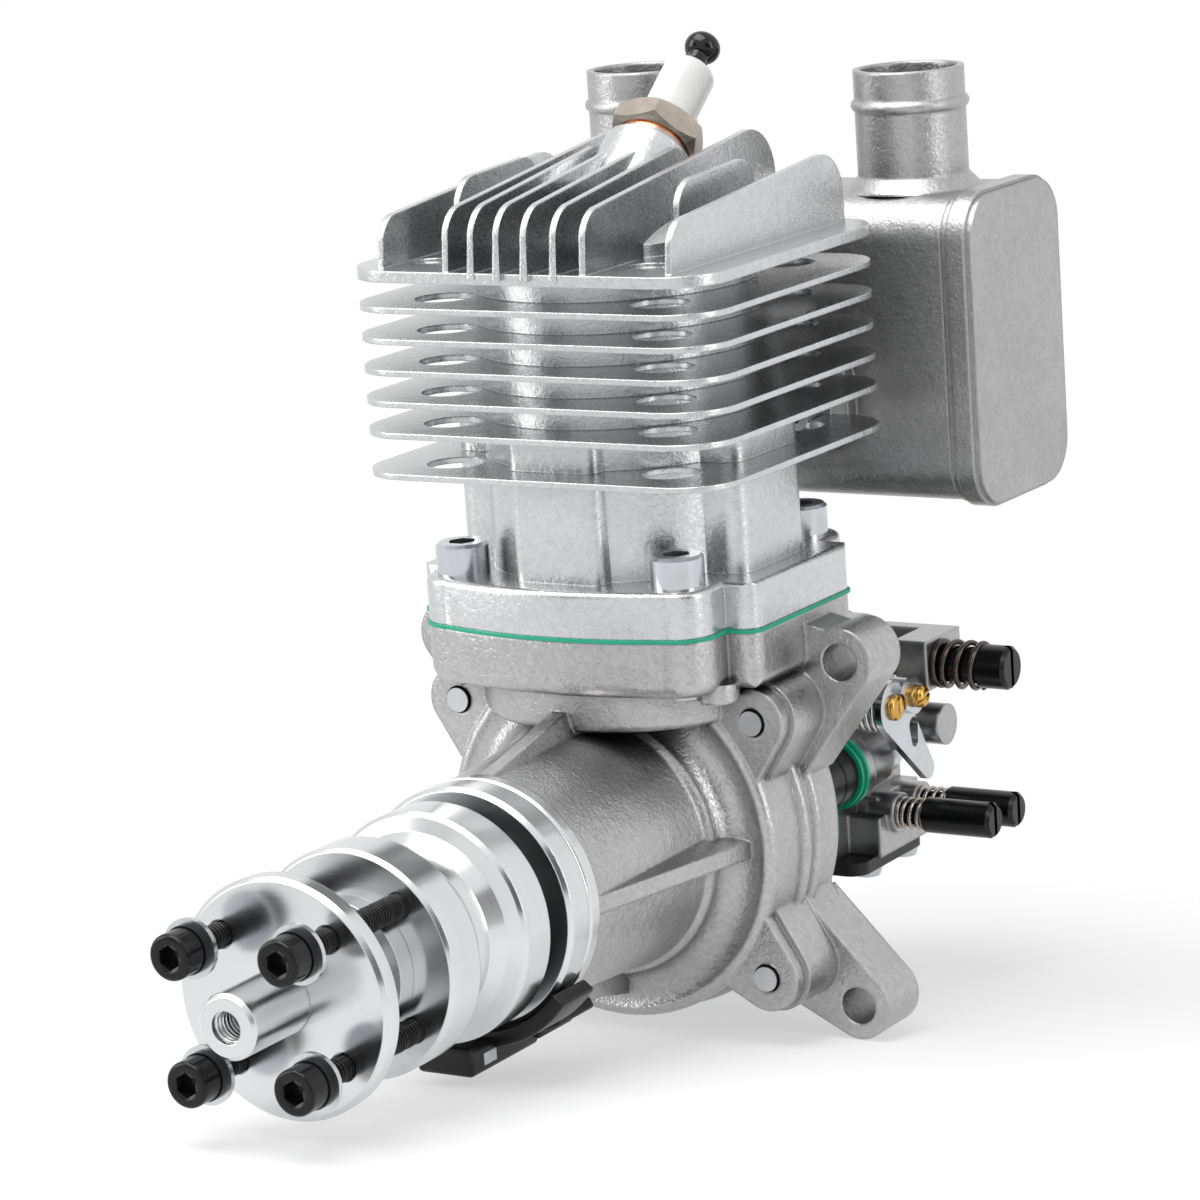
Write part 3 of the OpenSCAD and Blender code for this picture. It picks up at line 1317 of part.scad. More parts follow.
module prop_hub() {
  color("#d5d7da") difference() {
    turn_y() difference() {
      polygon([
        [0, front_bearing_y], [race_r, front_bearing_y], [race_r, nose_front_y - 1], [seal_r, nose_front_y - 1],
        [seal_r, hub_rear_y + 0.4], [hub_rear_r - 0.6, hub_rear_y], [hub_rear_r, hub_rear_y - 0.6],
        [hub_rear_r, hub_rear_y - hub_disc_rear + 0.6], [hub_rear_r - 0.6, hub_rear_y - hub_disc_rear],
        [hub_waist_r + 1.8, hub_rear_y - hub_disc_rear - 1], [hub_waist_r + 0.2, hub_rear_y - hub_disc_rear - 3.4],
        [hub_waist_r, hub_rear_y - hub_disc_rear - 6], [hub_waist_r + 0.8, hub_front_y + hub_disc_front + 2.6],
        [hub_waist_r + 2.6, hub_front_y + hub_disc_front], [hub_front_r, hub_front_y + hub_disc_front - 0.3],
        [hub_front_r, hub_front_y + 0.6], [hub_front_r - 0.6, hub_front_y], [0, hub_front_y]]);
    }
    // Taper bore on the shaft and the clear hole for its thread
    translate([0, cone_rear_y, 0]) rotate([90, 0, 0])
      cylinder(h = cone_rear_y - cone_front_y, r1 = shaft_d / 2, r2 = shaft_d / 2 - 1.4);
    rod_y(0, cone_rear_y - 0.01, 0, shaft_d / 2, 20);
    rod_y(0, hub_front_y - 1, 0, stub_thread_r + screw_fit, 14);
    for (a = bolt_angles)
      rod_y(bolt_circle_r * cos(a), hub_front_y - 1, bolt_circle_r * sin(a), prop_bolt_d / 2, hub_disc_front + 2.6);
    translate([0, hub_rear_y - hub_disc_rear / 2, 0]) rotate([0, 200, 0])
      rod_x(hub_rear_r - magnet_length, 0, 0, magnet_r, magnet_length + 1);
  }
}

module hub_magnet() {
  color("#8f9396") translate([0, hub_rear_y - hub_disc_rear / 2, 0]) rotate([0, 200, 0])
    rod_x(hub_rear_r - magnet_length, 0, 0, magnet_r, magnet_length - 0.2);
}

module prop_stub() {
  color("#cfd2d5") difference() {
    union() {
      rod_y(0, hub_front_y - stub_flange_t, 0, stub_flange_r, stub_flange_t);
      rod_y(0, stub_end_y + 0.6, 0, stub_d / 2, hub_front_y - stub_end_y - 1);
      translate([0, stub_end_y + 0.6, 0]) rotate([90, 0, 0]) cylinder(h = 0.6, r1 = stub_d / 2, r2 = stub_d / 2 - 0.6);
    }
    rod_y(0, stub_end_y - 1, 0, stub_bore_d / 2, stub_bore_depth + 1);
    rod_y(0, hub_front_y - stub_flange_t - 2.4, 0, stub_thread_r, stub_flange_t + 4);
  }
}

module each_prop_bolt() {
  for (a = bolt_angles) translate([bolt_circle_r * cos(a), 0, bolt_circle_r * sin(a)]) children();
}

module prop_bolts() {
  seat_y = bolt_head_y + bolt_head_h;
  color("#161616") each_prop_bolt() translate([0, seat_y, 0]) rotate([90, 0, 0])
    cap_screw(prop_bolt_d, hub_front_y + hub_disc_front - seat_y, 2 * bolt_head_r);
}

module spring_washers() {
  color("#1a1a1a") each_prop_bolt()
    ring_y(bolt_head_y + bolt_head_h, bolt_head_r + 0.2, prop_bolt_d / 2 + run_fit, spring_washer_t);
}

module flat_washers() {
  color("#c9ccd0") each_prop_bolt()
    ring_y(bolt_head_y + bolt_head_h + spring_washer_t, 4.5, prop_bolt_d / 2 + run_fit, flat_washer_t);
}

module prop_washer() {
  color("#dcdee0") difference() {
    turn_y() polygon([
      [stub_d / 2 + run_fit, prop_washer_y], [prop_washer_r - 0.7, prop_washer_y],
      [prop_washer_r, prop_washer_y + 0.7], [prop_washer_r, prop_washer_y + prop_washer_t - 0.5],
      [prop_washer_r - 0.5, prop_washer_y + prop_washer_t], [stub_d / 2 + run_fit, prop_washer_y + prop_washer_t]]);
    each_prop_bolt() rod_y(0, prop_washer_y - 1, 0, prop_bolt_d / 2 + screw_fit, prop_washer_t + 2);
  }
}

// Piston and rod

piston_r = bore_r - 0.06;
ring_z = crown_edge_z - 4;
crown_rise = 2.6;
crown_sphere_r = (piston_r * piston_r + crown_rise * crown_rise) / (2 * crown_rise);

boss_gap = rod_eye_w / 2 + 0.7;

// The hollow under the crown, clear of the bosses of the piston pin
module piston_cavity() {
  difference() {
    rod_z(0, cyl_y, skirt_z - 1, bore_r - 2.4, tdc_pin_z + 12 - skirt_z);
    for (s = [-1, 1]) translate([0, cyl_y + s * (boss_gap + 10), tdc_pin_z]) {
      rod_y(0, -10, 0, wrist_pin_d / 2 + 2.6, 20);
      translate([0, 0, 10]) cube([8, 20, 20], center = true);
    }
  }
}

module piston() {
  color("#b7b9bb") difference() {
    translate([0, cyl_y, 0]) rotate_extrude() intersection() {
      translate([0, skirt_z]) square([piston_r, crown_edge_z + crown_rise - skirt_z]);
      translate([0, crown_edge_z + crown_rise - crown_sphere_r]) circle(crown_sphere_r, $fn = 180);
    }
    piston_cavity();
    rod_y(0, cyl_y - 25, tdc_pin_z, wrist_pin_d / 2, 50);
    translate([0, cyl_y, ring_z]) rotate_extrude() translate([piston_r - 1.7, 0]) square([3, 1.2]);
  }
}

module piston_ring() {
  color("#8b8e91") difference() {
    translate([0, cyl_y, ring_z + 0.1]) rotate_extrude() translate([piston_r - 1.6, 0]) square([1.62, 1]);
    translate([0, cyl_y - bore_r, ring_z]) cube([0.6, 6, 4], center = true);
  }
}

module wrist_pin() {
  length = 2 * sqrt(piston_r * piston_r - pow(wrist_pin_d / 2, 2)) - 3;
  color("#c9ccd0") translate([0, cyl_y - length / 2, 0]) difference() {
    rod_y(0, 0, tdc_pin_z, wrist_pin_d / 2, length);
    rod_y(0, -1, tdc_pin_z, wrist_pin_d / 2 - 2, length + 2);
  }
}

module con_rod() {
  color("#9fa3a7") difference() {
    union() {
      rod_y(0, rod_y0, tdc_pin_z, small_end_r, rod_eye_w);
      rod_y(0, rod_y0, throw, big_end_r, rod_eye_w);
      plate_y(cyl_y - 2.2, 4.4) link([0, throw], big_end_r - 2.6, [0, tdc_pin_z], 4);
    }
    rod_y(0, rod_y0 - 1, tdc_pin_z, wrist_pin_d / 2 + run_fit, rod_eye_w + 2);
    rod_y(0, rod_y0 - 1, throw, crank_pin_d / 2, rod_eye_w + 2);
    // Lightening channel along both faces of the shank
    for (y = [cyl_y - 3.2, cyl_y + 1.2]) plate_y(y, 2) link([0, throw + 13], 2.4, [0, tdc_pin_z - 14], 1.8);
  }
}

module crank_pin() {
  color("#c9ccd0") rod_y(0, web_rear_y + pin_play, throw, crank_pin_d / 2, rod_y0 + rod_eye_w - web_rear_y - pin_play + 0.6);
}

crankcase_front();
crankcase_rear();
case_screws();
timing_collar();
pickup_holder();
pickup_window();
bearing_outer_rings();
bearing_balls();
bearing_inner_rings();
shaft_seal();
cylinder_casting();  // cylinder
base_gasket();
base_screws();
plug_shell();
plug_gasket();
plug_insulator();
plug_terminal();
exhaust_gasket();
muffler_body();
muffler_caps();
muffler_screws();
rear_gasket();
reed_housing();
reed_block();
reed_petals();
housing_screws();
carb_gaskets();
heat_plate();
carb_body();
pump_cover();
metering_cover();
cover_screws();
carb_screws();
fuel_inlet();
throttle_shaft();
throttle_plate();
throttle_lever();
throttle_screws();
throttle_spring();
choke_shaft();
choke_plate();
choke_lever();
idle_screw();
low_needle();
high_needle();
idle_spring();
needle_springs();
crankshaft();
prop_hub();
hub_magnet();
prop_stub();
prop_bolts();
spring_washers();
flat_washers();
prop_washer();
piston();
piston_ring();
wrist_pin();
con_rod();
crank_pin();
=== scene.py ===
"""Finishes, threads and studio for a petrol model aircraft engine with a rear muffler and carburettor."""

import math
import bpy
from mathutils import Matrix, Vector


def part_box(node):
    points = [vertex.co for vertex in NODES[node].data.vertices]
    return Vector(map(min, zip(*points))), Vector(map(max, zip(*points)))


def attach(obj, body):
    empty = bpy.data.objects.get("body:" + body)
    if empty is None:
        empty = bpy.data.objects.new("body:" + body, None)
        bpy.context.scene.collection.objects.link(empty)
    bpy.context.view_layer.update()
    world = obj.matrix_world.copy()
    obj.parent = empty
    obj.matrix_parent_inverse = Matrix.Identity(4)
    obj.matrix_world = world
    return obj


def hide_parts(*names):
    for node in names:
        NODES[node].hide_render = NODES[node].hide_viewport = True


bl_info = {
    "name": "Model aircraft engine",
    "version": (1, 0, 0),
    "blender": (4, 5, 0),
    "location": "3D View > Sidebar > Engine",
    "description": "Cast, turned and plated finishes, screw threads and a white studio for the engine",
    "category": "Object",
}

import bmesh
import bpy
import numpy as np
from mathutils import Matrix, Vector

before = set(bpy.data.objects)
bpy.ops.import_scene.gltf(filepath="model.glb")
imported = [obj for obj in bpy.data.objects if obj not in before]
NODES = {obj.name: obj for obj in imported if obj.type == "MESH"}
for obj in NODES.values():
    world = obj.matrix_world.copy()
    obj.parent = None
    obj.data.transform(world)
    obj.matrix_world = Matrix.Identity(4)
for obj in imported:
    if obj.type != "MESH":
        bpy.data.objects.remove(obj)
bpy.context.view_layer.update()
MM = 0.001

# The flange between crankcase and cylinder, in millimetres: its middle, its screws, its reach beside
# a screw and in the middle of its bowed front and back, the reach of the CAD's own block there, and
# for its lower and upper half the bottom, the top and the rounded edge
FLANGE_Y = -9.5
FLANGE_SCREW_X = 19.7
FLANGE_LOBE_REACH = 25.6
FLANGE_MIDDLE_REACH = 28.6
FLANGE_BLOCK_REACH = 35.0
DECK_LOW, DECK_TOP, DECK_EDGE = 26.6, 35.75, 2.4
FLANGE_LOW, FLANGE_TOP, FLANGE_EDGE = 36.25, 43.6, 1.0
# How far the gasket between the two halves stands proud of them
GASKET_PROUD = 0.35

# The cooling fins, in millimetres: their upper faces, and how thick they are in the CAD and here
FIN_TOPS = [61.2] + [67.7 + 4.95 * i for i in range(5)]
FIN_CAD_T, FIN_T = 1.3, 0.95
HEAD_PLATE_Z, HEAD_PLATE_CAD_T, HEAD_PLATE_T = 93.2, 2.4, 1.8
HEAD_FIN_X = (2.475, 7.425, 12.375, 20.0, 26.0)
HEAD_FIN_CAD_T, HEAD_FIN_T = 1.4, 1.05

# The propeller bolts, in millimetres and degrees
BOLT_CIRCLE_R, BOLT_FIRST_ANGLE = 13.34, 48.1
BOLT_HEAD_R, BOLT_HEAD_H, BOLT_CORNER, BOLT_KNURL = 3.5, 4.0, 0.65, 0.02
BOLT_SOCKET, BOLT_SOCKET_FLOOR = 3.3, 1.9
BOLT_CORE_R, BOLT_THREAD_R, BOLT_RIDGE, BOLT_PITCH = 1.66, 1.7, 0.3, 0.7

# The camera: its focal length and the picture's width in pixels, its axes and its place in metres
FOCAL_PX, PICTURE_PX, SENSOR_MM = 4631.456, 1200, 36
CAMERA_RIGHT = (0.85029728, 0.52208735, -0.06647803)
CAMERA_UP = (-0.05714474, 0.21714852, 0.97446447)
CAMERA_BACK = (0.52319118, -0.82478562, 0.21447534)
CAMERA_PLACE = (0.38222817, -0.62328057, 0.19498028)

WHITE = (1, 1, 1, 1)


# Materials


class Line:
    """A node's socket that can be used in Python sums."""

    def __init__(self, finish, socket):
        self.finish, self.socket = finish, socket

    def _sum(self, operation, *values):
        return self.finish.node("ShaderNodeMath", {"operation": operation}, values)

    def __add__(self, other):
        return self._sum("ADD", self, other)

    def __sub__(self, other):
        return self._sum("SUBTRACT", self, other)

    def __rsub__(self, other):
        return self._sum("SUBTRACT", other, self)

    def __mul__(self, other):
        return self._sum("MULTIPLY", self, other)

    def __truediv__(self, other):
        return self._sum("DIVIDE", self, other)

    def __rtruediv__(self, other):
        return self._sum("DIVIDE", other, self)

    def __pow__(self, other):
        return self._sum("POWER", self, other)

    __radd__, __rmul__ = __add__, __mul__

    def between(self, low, high):
        """0 below low, 1 above high, smooth between."""
        return self.finish.node(
            "ShaderNodeMapRange",
            {"interpolation_type": "SMOOTHSTEP"},
            {"Value": self, "From Min": low, "From Max": high},
        )


class Graph:
    """A node tree that is filled with node()."""

    def __init__(self, tree):
        self.tree = tree
        tree.nodes.clear()

    def node(self, kind, settings=None, values=(), out=0):
        n = self.tree.nodes.new(kind)
        for key, value in (settings or {}).items():
            if key == "stops":
                ramp = n.color_ramp
                while len(ramp.elements) < len(value):
                    ramp.elements.new(0.5)
                for element, (at, colour) in zip(ramp.elements, value):
                    element.position, element.color = at, (*colour, 1)
            else:
                setattr(n, key, value)
        pairs = values.items() if isinstance(values, dict) else enumerate(values)
        for key, value in pairs:
            if isinstance(value, Line):
                self.tree.links.new(value.socket, n.inputs[key])
            else:
                n.inputs[key].default_value = value
        return Line(self, n.outputs[out]) if n.outputs else None

    def outputs(self, line, names):
        """Outputs, by name, of the node that a line comes from."""
        return [Line(self, line.socket.node.outputs[name]) for name in names]

    def plain_rays(self):
        """1 for the rays of camera, mirror and glass, which see pure white round the engine."""
        kinds = "Is Camera Ray", "Is Glossy Ray", "Is Transmission Ray"
        camera, mirror, glass = self.outputs(self.node("ShaderNodeLightPath"), kinds)
        return camera + mirror + glass


class Finish(Graph):
    """One material, which surface() closes."""

    def __init__(self, name):
        self.material = bpy.data.materials.new(name)
        self.material.use_nodes = True
        super().__init__(self.material.node_tree)
        self.place = self.node("ShaderNodeTexCoord", out="Object")

    def noise(self, size_mm, detail=2.0, rough=0.5, vector=None, distortion=0.0):
        """Noise whose lumps are about size_mm across."""
        return self.node(
            "ShaderNodeTexNoise",
            values={
                "Vector": vector or self.place,
                "Scale": 1000 / size_mm,
                "Detail": detail,
                "Roughness": rough,
                "Distortion": distortion,
            },
            out="Fac",
        )

    def mix(self, factor, a, b):
        """A colour between a and b."""
        colours = [v if isinstance(v, Line) else (*v, 1) for v in (a, b)]
        return self.node(
            "ShaderNodeMix",
            {"data_type": "RGBA"},
            {0: factor, 6: colours[0], 7: colours[1]},
            out=2,
        )

    def worn_edge(self, radius_mm):
        """A normal that rounds sharp edges by radius_mm."""
        return self.node("ShaderNodeBevel", {"samples": 6}, {"Radius": radius_mm * MM})

    def painted_shade_mask(self, reach_mm):
        """0 deep in a corner of the piece, 1 in the open: the mask for painted shade in corners."""
        settings = {"samples": 6, "only_local": True}
        return self.node("ShaderNodeAmbientOcclusion", settings, {"Distance": reach_mm * MM}, out="AO")

    def bump(self, height, depth_mm, strength=1.0, normal=None):
        """A normal that follows a height of 0 to 1 over depth_mm."""
        values = {"Height": height, "Distance": depth_mm * MM, "Strength": strength}
        if normal is not None:
            values["Normal"] = normal
        return self.node("ShaderNodeBump", values=values)

    def surface(self, **sockets):
        """Closes the material with a Principled shader, whose sockets are given by name."""
        named = {k.replace("_", " ").title(): v for k, v in sockets.items()}
        named = {k.replace("Ior", "IOR"): v for k, v in named.items()}
        for k, v in named.items():
            if isinstance(v, tuple) and len(v) == 3:
                named[k] = (*v, 1)
        shader = self.node("ShaderNodeBsdfPrincipled", values=named)
        self.node("ShaderNodeOutputMaterial", values={"Surface": shader})
        return self.material


def toned(colour, share):
    """A colour made darker, or lighter up to white."""
    return tuple(min(1, c * share) for c in colour)


def cast_metal(name, light, dark, grain_mm, depth_mm, rough, edge_mm=0.7, patch=0.5, shade=0.45):
    """Blasted or sand-cast aluminium: orange-peel grain, pores, cloudy tone and soft edges, with painted
    shade in its corners and crevices.
    """
    f = Finish(name)
    cloud = f.noise(16, 4, 0.6)
    fine = f.noise(1.3, 3, 0.6)
    peel = f.noise(grain_mm, 2, 0.5, distortion=0.9)
    tone = (cloud * (patch * 0.6) + fine * (0.6 - patch * 0.6) + peel * 0.4).between(0.36, 0.64)
    speck = f.noise(grain_mm * 0.35, 2, 0.7)
    lumps = f.bump(f.noise(4.2, 2, 0.5), depth_mm * 2.2, 0.5, f.worn_edge(edge_mm))
    skin = f.bump(peel * 0.85 + speck * 0.15, depth_mm, 1.0, lumps)
    open_tone = f.mix(tone, dark, light)
    return f.surface(
        # Painted shade: corners and crevices take the dark tone times shade in place of the metal's own
        # tone.
        base_color=f.mix(f.painted_shade_mask(7).between(0.25, 0.95), toned(dark, shade), open_tone),
        metallic=1.0,
        roughness=rough - 0.06 + 0.14 * speck,
        normal=skin,
    )


def turned_metal(name, colour, rough, axis="Y", line_mm=0.16, depth_mm=0.002):
    """Bright metal from the lathe: fine rings round the axis, with wider rings of tone that are partly
    painted sheen.
    """
    f = Finish(name)
    split = f.node("ShaderNodeSeparateXYZ", values=[f.place])
    along, u, v = f.outputs(split, axis + "XYZ".replace(axis, ""))
    ring = f.node("ShaderNodeCombineXYZ", values=[(u * u + v * v) ** 0.5, along, 0.0])
    fine = f.noise(line_mm, 2, 0.6, ring)
    wide = f.noise(line_mm * 12, 2, 0.5, ring)
    cloud = f.noise(14, 3, 0.6)
    stain = f.noise(3, 5, 0.7).between(0.62, 0.8)
    # Lighter and darker rings round the axis: partly the tone of the turning, partly painted sheen bands
    # that stand in for reflections.
    ring_tone_and_sheen = f.mix(wide * 0.5 + cloud * 0.5, toned(colour, 0.88), colour)
    return f.surface(
        base_color=f.mix(stain * 0.35, ring_tone_and_sheen, toned(colour, 0.6)),
        metallic=1.0,
        roughness=rough - 0.04 + 0.07 * fine + 0.06 * cloud,
        normal=f.bump(fine * 0.5 + wide * 0.5, depth_mm, 1.0, f.worn_edge(0.25)),
    )


def plain_metal(name, colour, rough, grain_mm=0.7, depth_mm=0.004, tint=None, metallic=1.0, gloss=0.5):
    """Ground, plated or blackened metal with a faint grain and stain."""
    f = Finish(name)
    cloud = f.noise(5, 4, 0.6)
    grain = f.noise(grain_mm, 3, 0.6)
    return f.surface(
        base_color=f.mix(cloud.between(0.35, 0.7), colour, tint or toned(colour, 0.8)),
        metallic=metallic,
        roughness=rough - 0.05 + 0.12 * grain,
        specular_ior_level=gloss,
        normal=f.bump(grain, depth_mm),
    )


def moulded(name, colour, rough, grain_mm=0.5, depth_mm=0.01, coat=0.0, gloss=0.5):
    """Plastic, rubber, gasket sheet or glaze."""
    f = Finish(name)
    grain = f.noise(grain_mm, 2, 0.6)
    cloud = f.noise(7, 3, 0.5)
    return f.surface(
        base_color=f.mix(cloud, toned(colour, 0.8), toned(colour, 1.15)),
        roughness=rough - 0.04 + 0.1 * grain,
        coat_weight=coat,
        specular_ior_level=gloss,
        normal=f.bump(grain, depth_mm),
    )


def paint(material, *names):
    """Gives CAD nodes a finish through their material slots."""
    for name in names:
        slots = NODES[name].data.materials
        if not slots:
            slots.append(material)
        for i in range(len(slots)):
            slots[i] = material


def finish_colour(label, default):
    """A colour that the user may change."""
    return bpy.props.FloatVectorProperty(
        name=label, description=f"Base colour of the {label.lower()}", subtype="COLOR",
        size=3, min=0, max=1, default=default,
    )


class EngineFinish(bpy.types.PropertyGroup):
    """Colours and grain that a user would change."""

    casting: finish_colour("Crankcase casting", (0.52, 0.515, 0.515))
    cylinder: finish_colour("Cylinder casting", (0.66, 0.665, 0.675))
    turned: finish_colour("Turned parts", (0.74, 0.745, 0.755))
    muffler: finish_colour("Muffler", (0.47, 0.468, 0.468))
    carburettor: finish_colour("Carburettor", (0.46, 0.46, 0.465))
    gasket: finish_colour("Gaskets", (0.0, 0.33, 0.19))
    grain: bpy.props.FloatProperty(
        name="Casting grain", description="Width of the casting's orange peel, in millimetres",
        default=0.75, min=0.2, max=3,
    )


class EngineStudio(bpy.types.PropertyGroup):
    """The white studio."""

    floor_tilt: bpy.props.FloatProperty(
        name="Floor tilt", description="Lean of the floor under the engine, which lies nose down",
        default=math.radians(7.0), subtype="ANGLE",
    )
    key_power: bpy.props.FloatProperty(
        name="Key light", description="Power of the overhead light", default=9.0, min=0, unit="POWER",
    )
    fill_power: bpy.props.FloatProperty(
        name="Fill light", description="Power of the side lights", default=3.6, min=0, unit="POWER",
    )


# Shapes


def placed(name, data):
    """A new object in the scene."""
    thing = bpy.data.objects.new(name, data)
    bpy.context.scene.collection.objects.link(thing)
    return thing


def settled(thing):
    """Makes an object's modifiers part of its mesh, which is given back."""
    mesh = bpy.data.meshes.new_from_object(thing.evaluated_get(bpy.context.evaluated_depsgraph_get()))
    thing.modifiers.clear()
    thing.data = mesh
    return mesh


def coil_tree():
    """Geometry nodes for a wire wound along +X: a spring, or the ridge of a screw thread."""
    tree = bpy.data.node_groups.new("wound wire", "GeometryNodeTree")
    g = Graph(tree)
    inputs = (
        ("Start", "Vector", (0, 0, 0)), ("Turn", "Vector", (0, math.pi / 2, 0)),
        ("Length", "Float", 0.01), ("Radius", "Float", 0.003), ("Wire", "Float", 0.0003),
        ("Turns", "Float", 5.0), ("Flat Ends", "Float", 0.0),
        ("Sides", "Int", 8), ("Steps", "Int", 36), ("Finish", "Material", None),
    )
    for name, kind, value in inputs:
        socket = tree.interface.new_socket(name, in_out="INPUT", socket_type="NodeSocket" + kind)
        if value is not None:
            socket.default_value = value
    tree.interface.new_socket("Mesh", in_out="OUTPUT", socket_type="NodeSocketGeometry")
    names = [name for name, _, _ in inputs]
    given = dict(zip(names, g.outputs(g.node("NodeGroupInput"), names)))
    spiral = g.node("GeometryNodeCurveSpiral", values={
        "Resolution": given["Steps"], "Rotations": given["Turns"], "Start Radius": given["Radius"],
        "End Radius": given["Radius"], "Height": 1.0,
    })
    # The first and last part of the winding lies flat where Flat Ends asks for it.
    place = g.node("GeometryNodeInputPosition")
    x, y, z = g.outputs(g.node("ShaderNodeSeparateXYZ", values=[place]), "XYZ")
    flat = given["Flat Ends"] / given["Turns"]
    rise = g.node("ShaderNodeClamp", values=[(z - flat) / (1 - 2 * flat), 0.0, 1.0]) * given["Length"]
    moved = g.node("GeometryNodeSetPosition", values={
        "Geometry": spiral, "Position": g.node("ShaderNodeCombineXYZ", values=[x, y, rise]),
    })
    ring = g.node("GeometryNodeCurvePrimitiveCircle", values={
        "Resolution": given["Sides"], "Radius": given["Wire"],
    })
    skin = g.node("GeometryNodeCurveToMesh", values={
        "Curve": moved, "Profile Curve": ring, "Fill Caps": True,
    })
    smooth = g.node("GeometryNodeSetShadeSmooth", values={"Geometry": skin})
    turned = g.node("GeometryNodeTransform", values={
        "Geometry": smooth, "Translation": given["Start"], "Rotation": given["Turn"],
    })
    real = g.node("GeometryNodeRealizeInstances", values={"Geometry": turned})
    painted = g.node("GeometryNodeSetMaterial", values={
        "Geometry": real, "Material": given["Finish"],
    })
    g.node("NodeGroupOutput", values=[painted])
    return tree


def grown(name, tree, **inputs):
    """A plain mesh object from a geometry tree, with its inputs set by name."""
    thing = placed(name, bpy.data.meshes.new(name))
    modifier = thing.modifiers.new("shape", "NODES")
    modifier.node_group = tree
    for item in tree.interface.items_tree:
        key = item.name.replace(" ", "_").lower()
        if item.in_out == "INPUT" and key in inputs:
            modifier[item.identifier] = inputs[key]
    thing.update_tag()
    settled(thing)
    return thing


def joined(name, things):
    """One mesh object from several, each already in place."""
    mesh = bpy.data.meshes.new(name)
    points, faces, smooth, materials, index = [], [], [], [], []
    for thing in things:
        data, base = thing.data, len(points)
        points += [tuple(v.co) for v in data.vertices]
        faces += [tuple(base + i for i in f.vertices) for f in data.polygons]
        smooth += [f.use_smooth for f in data.polygons]
        for m in data.materials:
            if m not in materials:
                materials.append(m)
        index += [materials.index(data.materials[f.material_index]) for f in data.polygons]
        bpy.data.objects.remove(thing)
    mesh.from_pydata(points, [], faces)
    for m in materials:
        mesh.materials.append(m)
    mesh.polygons.foreach_set("use_smooth", smooth)
    mesh.polygons.foreach_set("material_index", index)
    mesh.update()
    return placed(name, mesh)


def lofted(name, rings, material, smooth=()):
    """A closed skin over rings of as many points each, whose ends close on their middles.

    The bands whose numbers are in smooth are shaded smooth.
    """
    count = len(rings[0])
    points = [tuple(p) for ring in rings for p in ring]
    faces = []
    for a in range(len(rings) - 1):
        for k in range(count):
            j = (k + 1) % count
            faces.append((a * count + k, a * count + j, (a + 1) * count + j, (a + 1) * count + k))
    first, last = len(points), len(points) + 1
    points += [tuple(np.mean(rings[0], 0)), tuple(np.mean(rings[-1], 0))]
    top = (len(rings) - 1) * count
    for k in range(count):
        j = (k + 1) % count
        faces.append((first, j, k))
        faces.append((last, top + k, top + j))
    mesh = bpy.data.meshes.new(name)
    mesh.from_pydata(points, [], faces)
    mesh.materials.append(material)
    for f in mesh.polygons:
        f.use_smooth = f.index // count in smooth
    return placed(name, mesh)


def round_ring(radius, height, count=72, knurl=0.0):
    """Points of a circle about +Z; a knurl draws every other point in."""
    return [
        (
            (radius - knurl * (k % 2)) * math.cos(2 * math.pi * k / count),
            (radius - knurl * (k % 2)) * math.sin(2 * math.pi * k / count),
            height,
        )
        for k in range(count)
    ]


def hex_ring(flats, height, count=72):
    """Points of a hexagon about +Z, which is flats wide."""
    ring = []
    for k in range(count):
        a = 2 * math.pi * k / count
        reach = flats / 2 / math.cos((a + math.pi / 6) % (math.pi / 3) - math.pi / 6)
        ring.append((reach * math.cos(a), reach * math.sin(a), height))
    return ring


def closed_copy(name, node, rule=None):
    """A closed mesh object with a CAD node's shape; a rule may move its points, in millimetres."""
    work = bmesh.new()
    work.from_mesh(NODES[node].data)
    bmesh.ops.remove_doubles(work, verts=work.verts, dist=1e-7)
    if rule:
        for v in work.verts:
            v.co = Vector(rule(*(v.co / MM))) * MM
    mesh = bpy.data.meshes.new(name)
    work.to_mesh(mesh)
    work.free()
    return placed(name, mesh)


def prism(name, rings):
    """A closed mesh over rings of as many points each, in millimetres, with a flat face at each end."""
    work = bmesh.new()
    rows = [[work.verts.new(Vector(p) * MM) for p in ring] for ring in rings]
    for a, b in zip(rows, rows[1:]):
        for k in range(len(a)):
            j = (k + 1) % len(a)
            work.faces.new((a[k], a[j], b[j], b[k]))
    work.faces.new(rows[0])
    work.faces.new(rows[-1])
    bmesh.ops.recalc_face_normals(work, faces=work.faces)
    mesh = bpy.data.meshes.new(name)
    work.to_mesh(mesh)
    work.free()
    return placed(name, mesh)


def bow_cutter(side, low, high, low_edge, high_edge, proud=0.0):
    """A block that trims the flange's front (side -1) or back (side 1) to its bow.

    It reaches from low to high, and rounds the edges there where they are given.
    """
    drop = FLANGE_MIDDLE_REACH - FLANGE_LOBE_REACH
    bow_r = (FLANGE_SCREW_X ** 2 + drop ** 2) / (2 * drop)
    far, over = FLANGE_BLOCK_REACH + 0.05, 0.02
    half = FLANGE_SCREW_X + 0.01
    quarter = math.pi / 2
    rings = []
    for x in np.linspace(-half, half, 49):
        reach = FLANGE_MIDDLE_REACH + proud - bow_r + math.sqrt(bow_r ** 2 - x ** 2)
        wall = [(far, low - over), (far, high + over), (reach - high_edge, high + over)]
        for a in np.linspace(0, quarter, 7) if high_edge else (quarter,):
            wall.append((reach - high_edge * (1 - math.sin(a)), high - high_edge * (1 - math.cos(a))))
        for a in np.linspace(0, quarter, 9) if low_edge else (0,):
            wall.append((reach - low_edge * (1 - math.cos(a)), low + low_edge * (1 - math.sin(a))))
        wall.append((reach - low_edge, low - over))
        rings.append([(x, FLANGE_Y + side * out, z) for out, z in wall])
    return prism("bow cutter", rings)


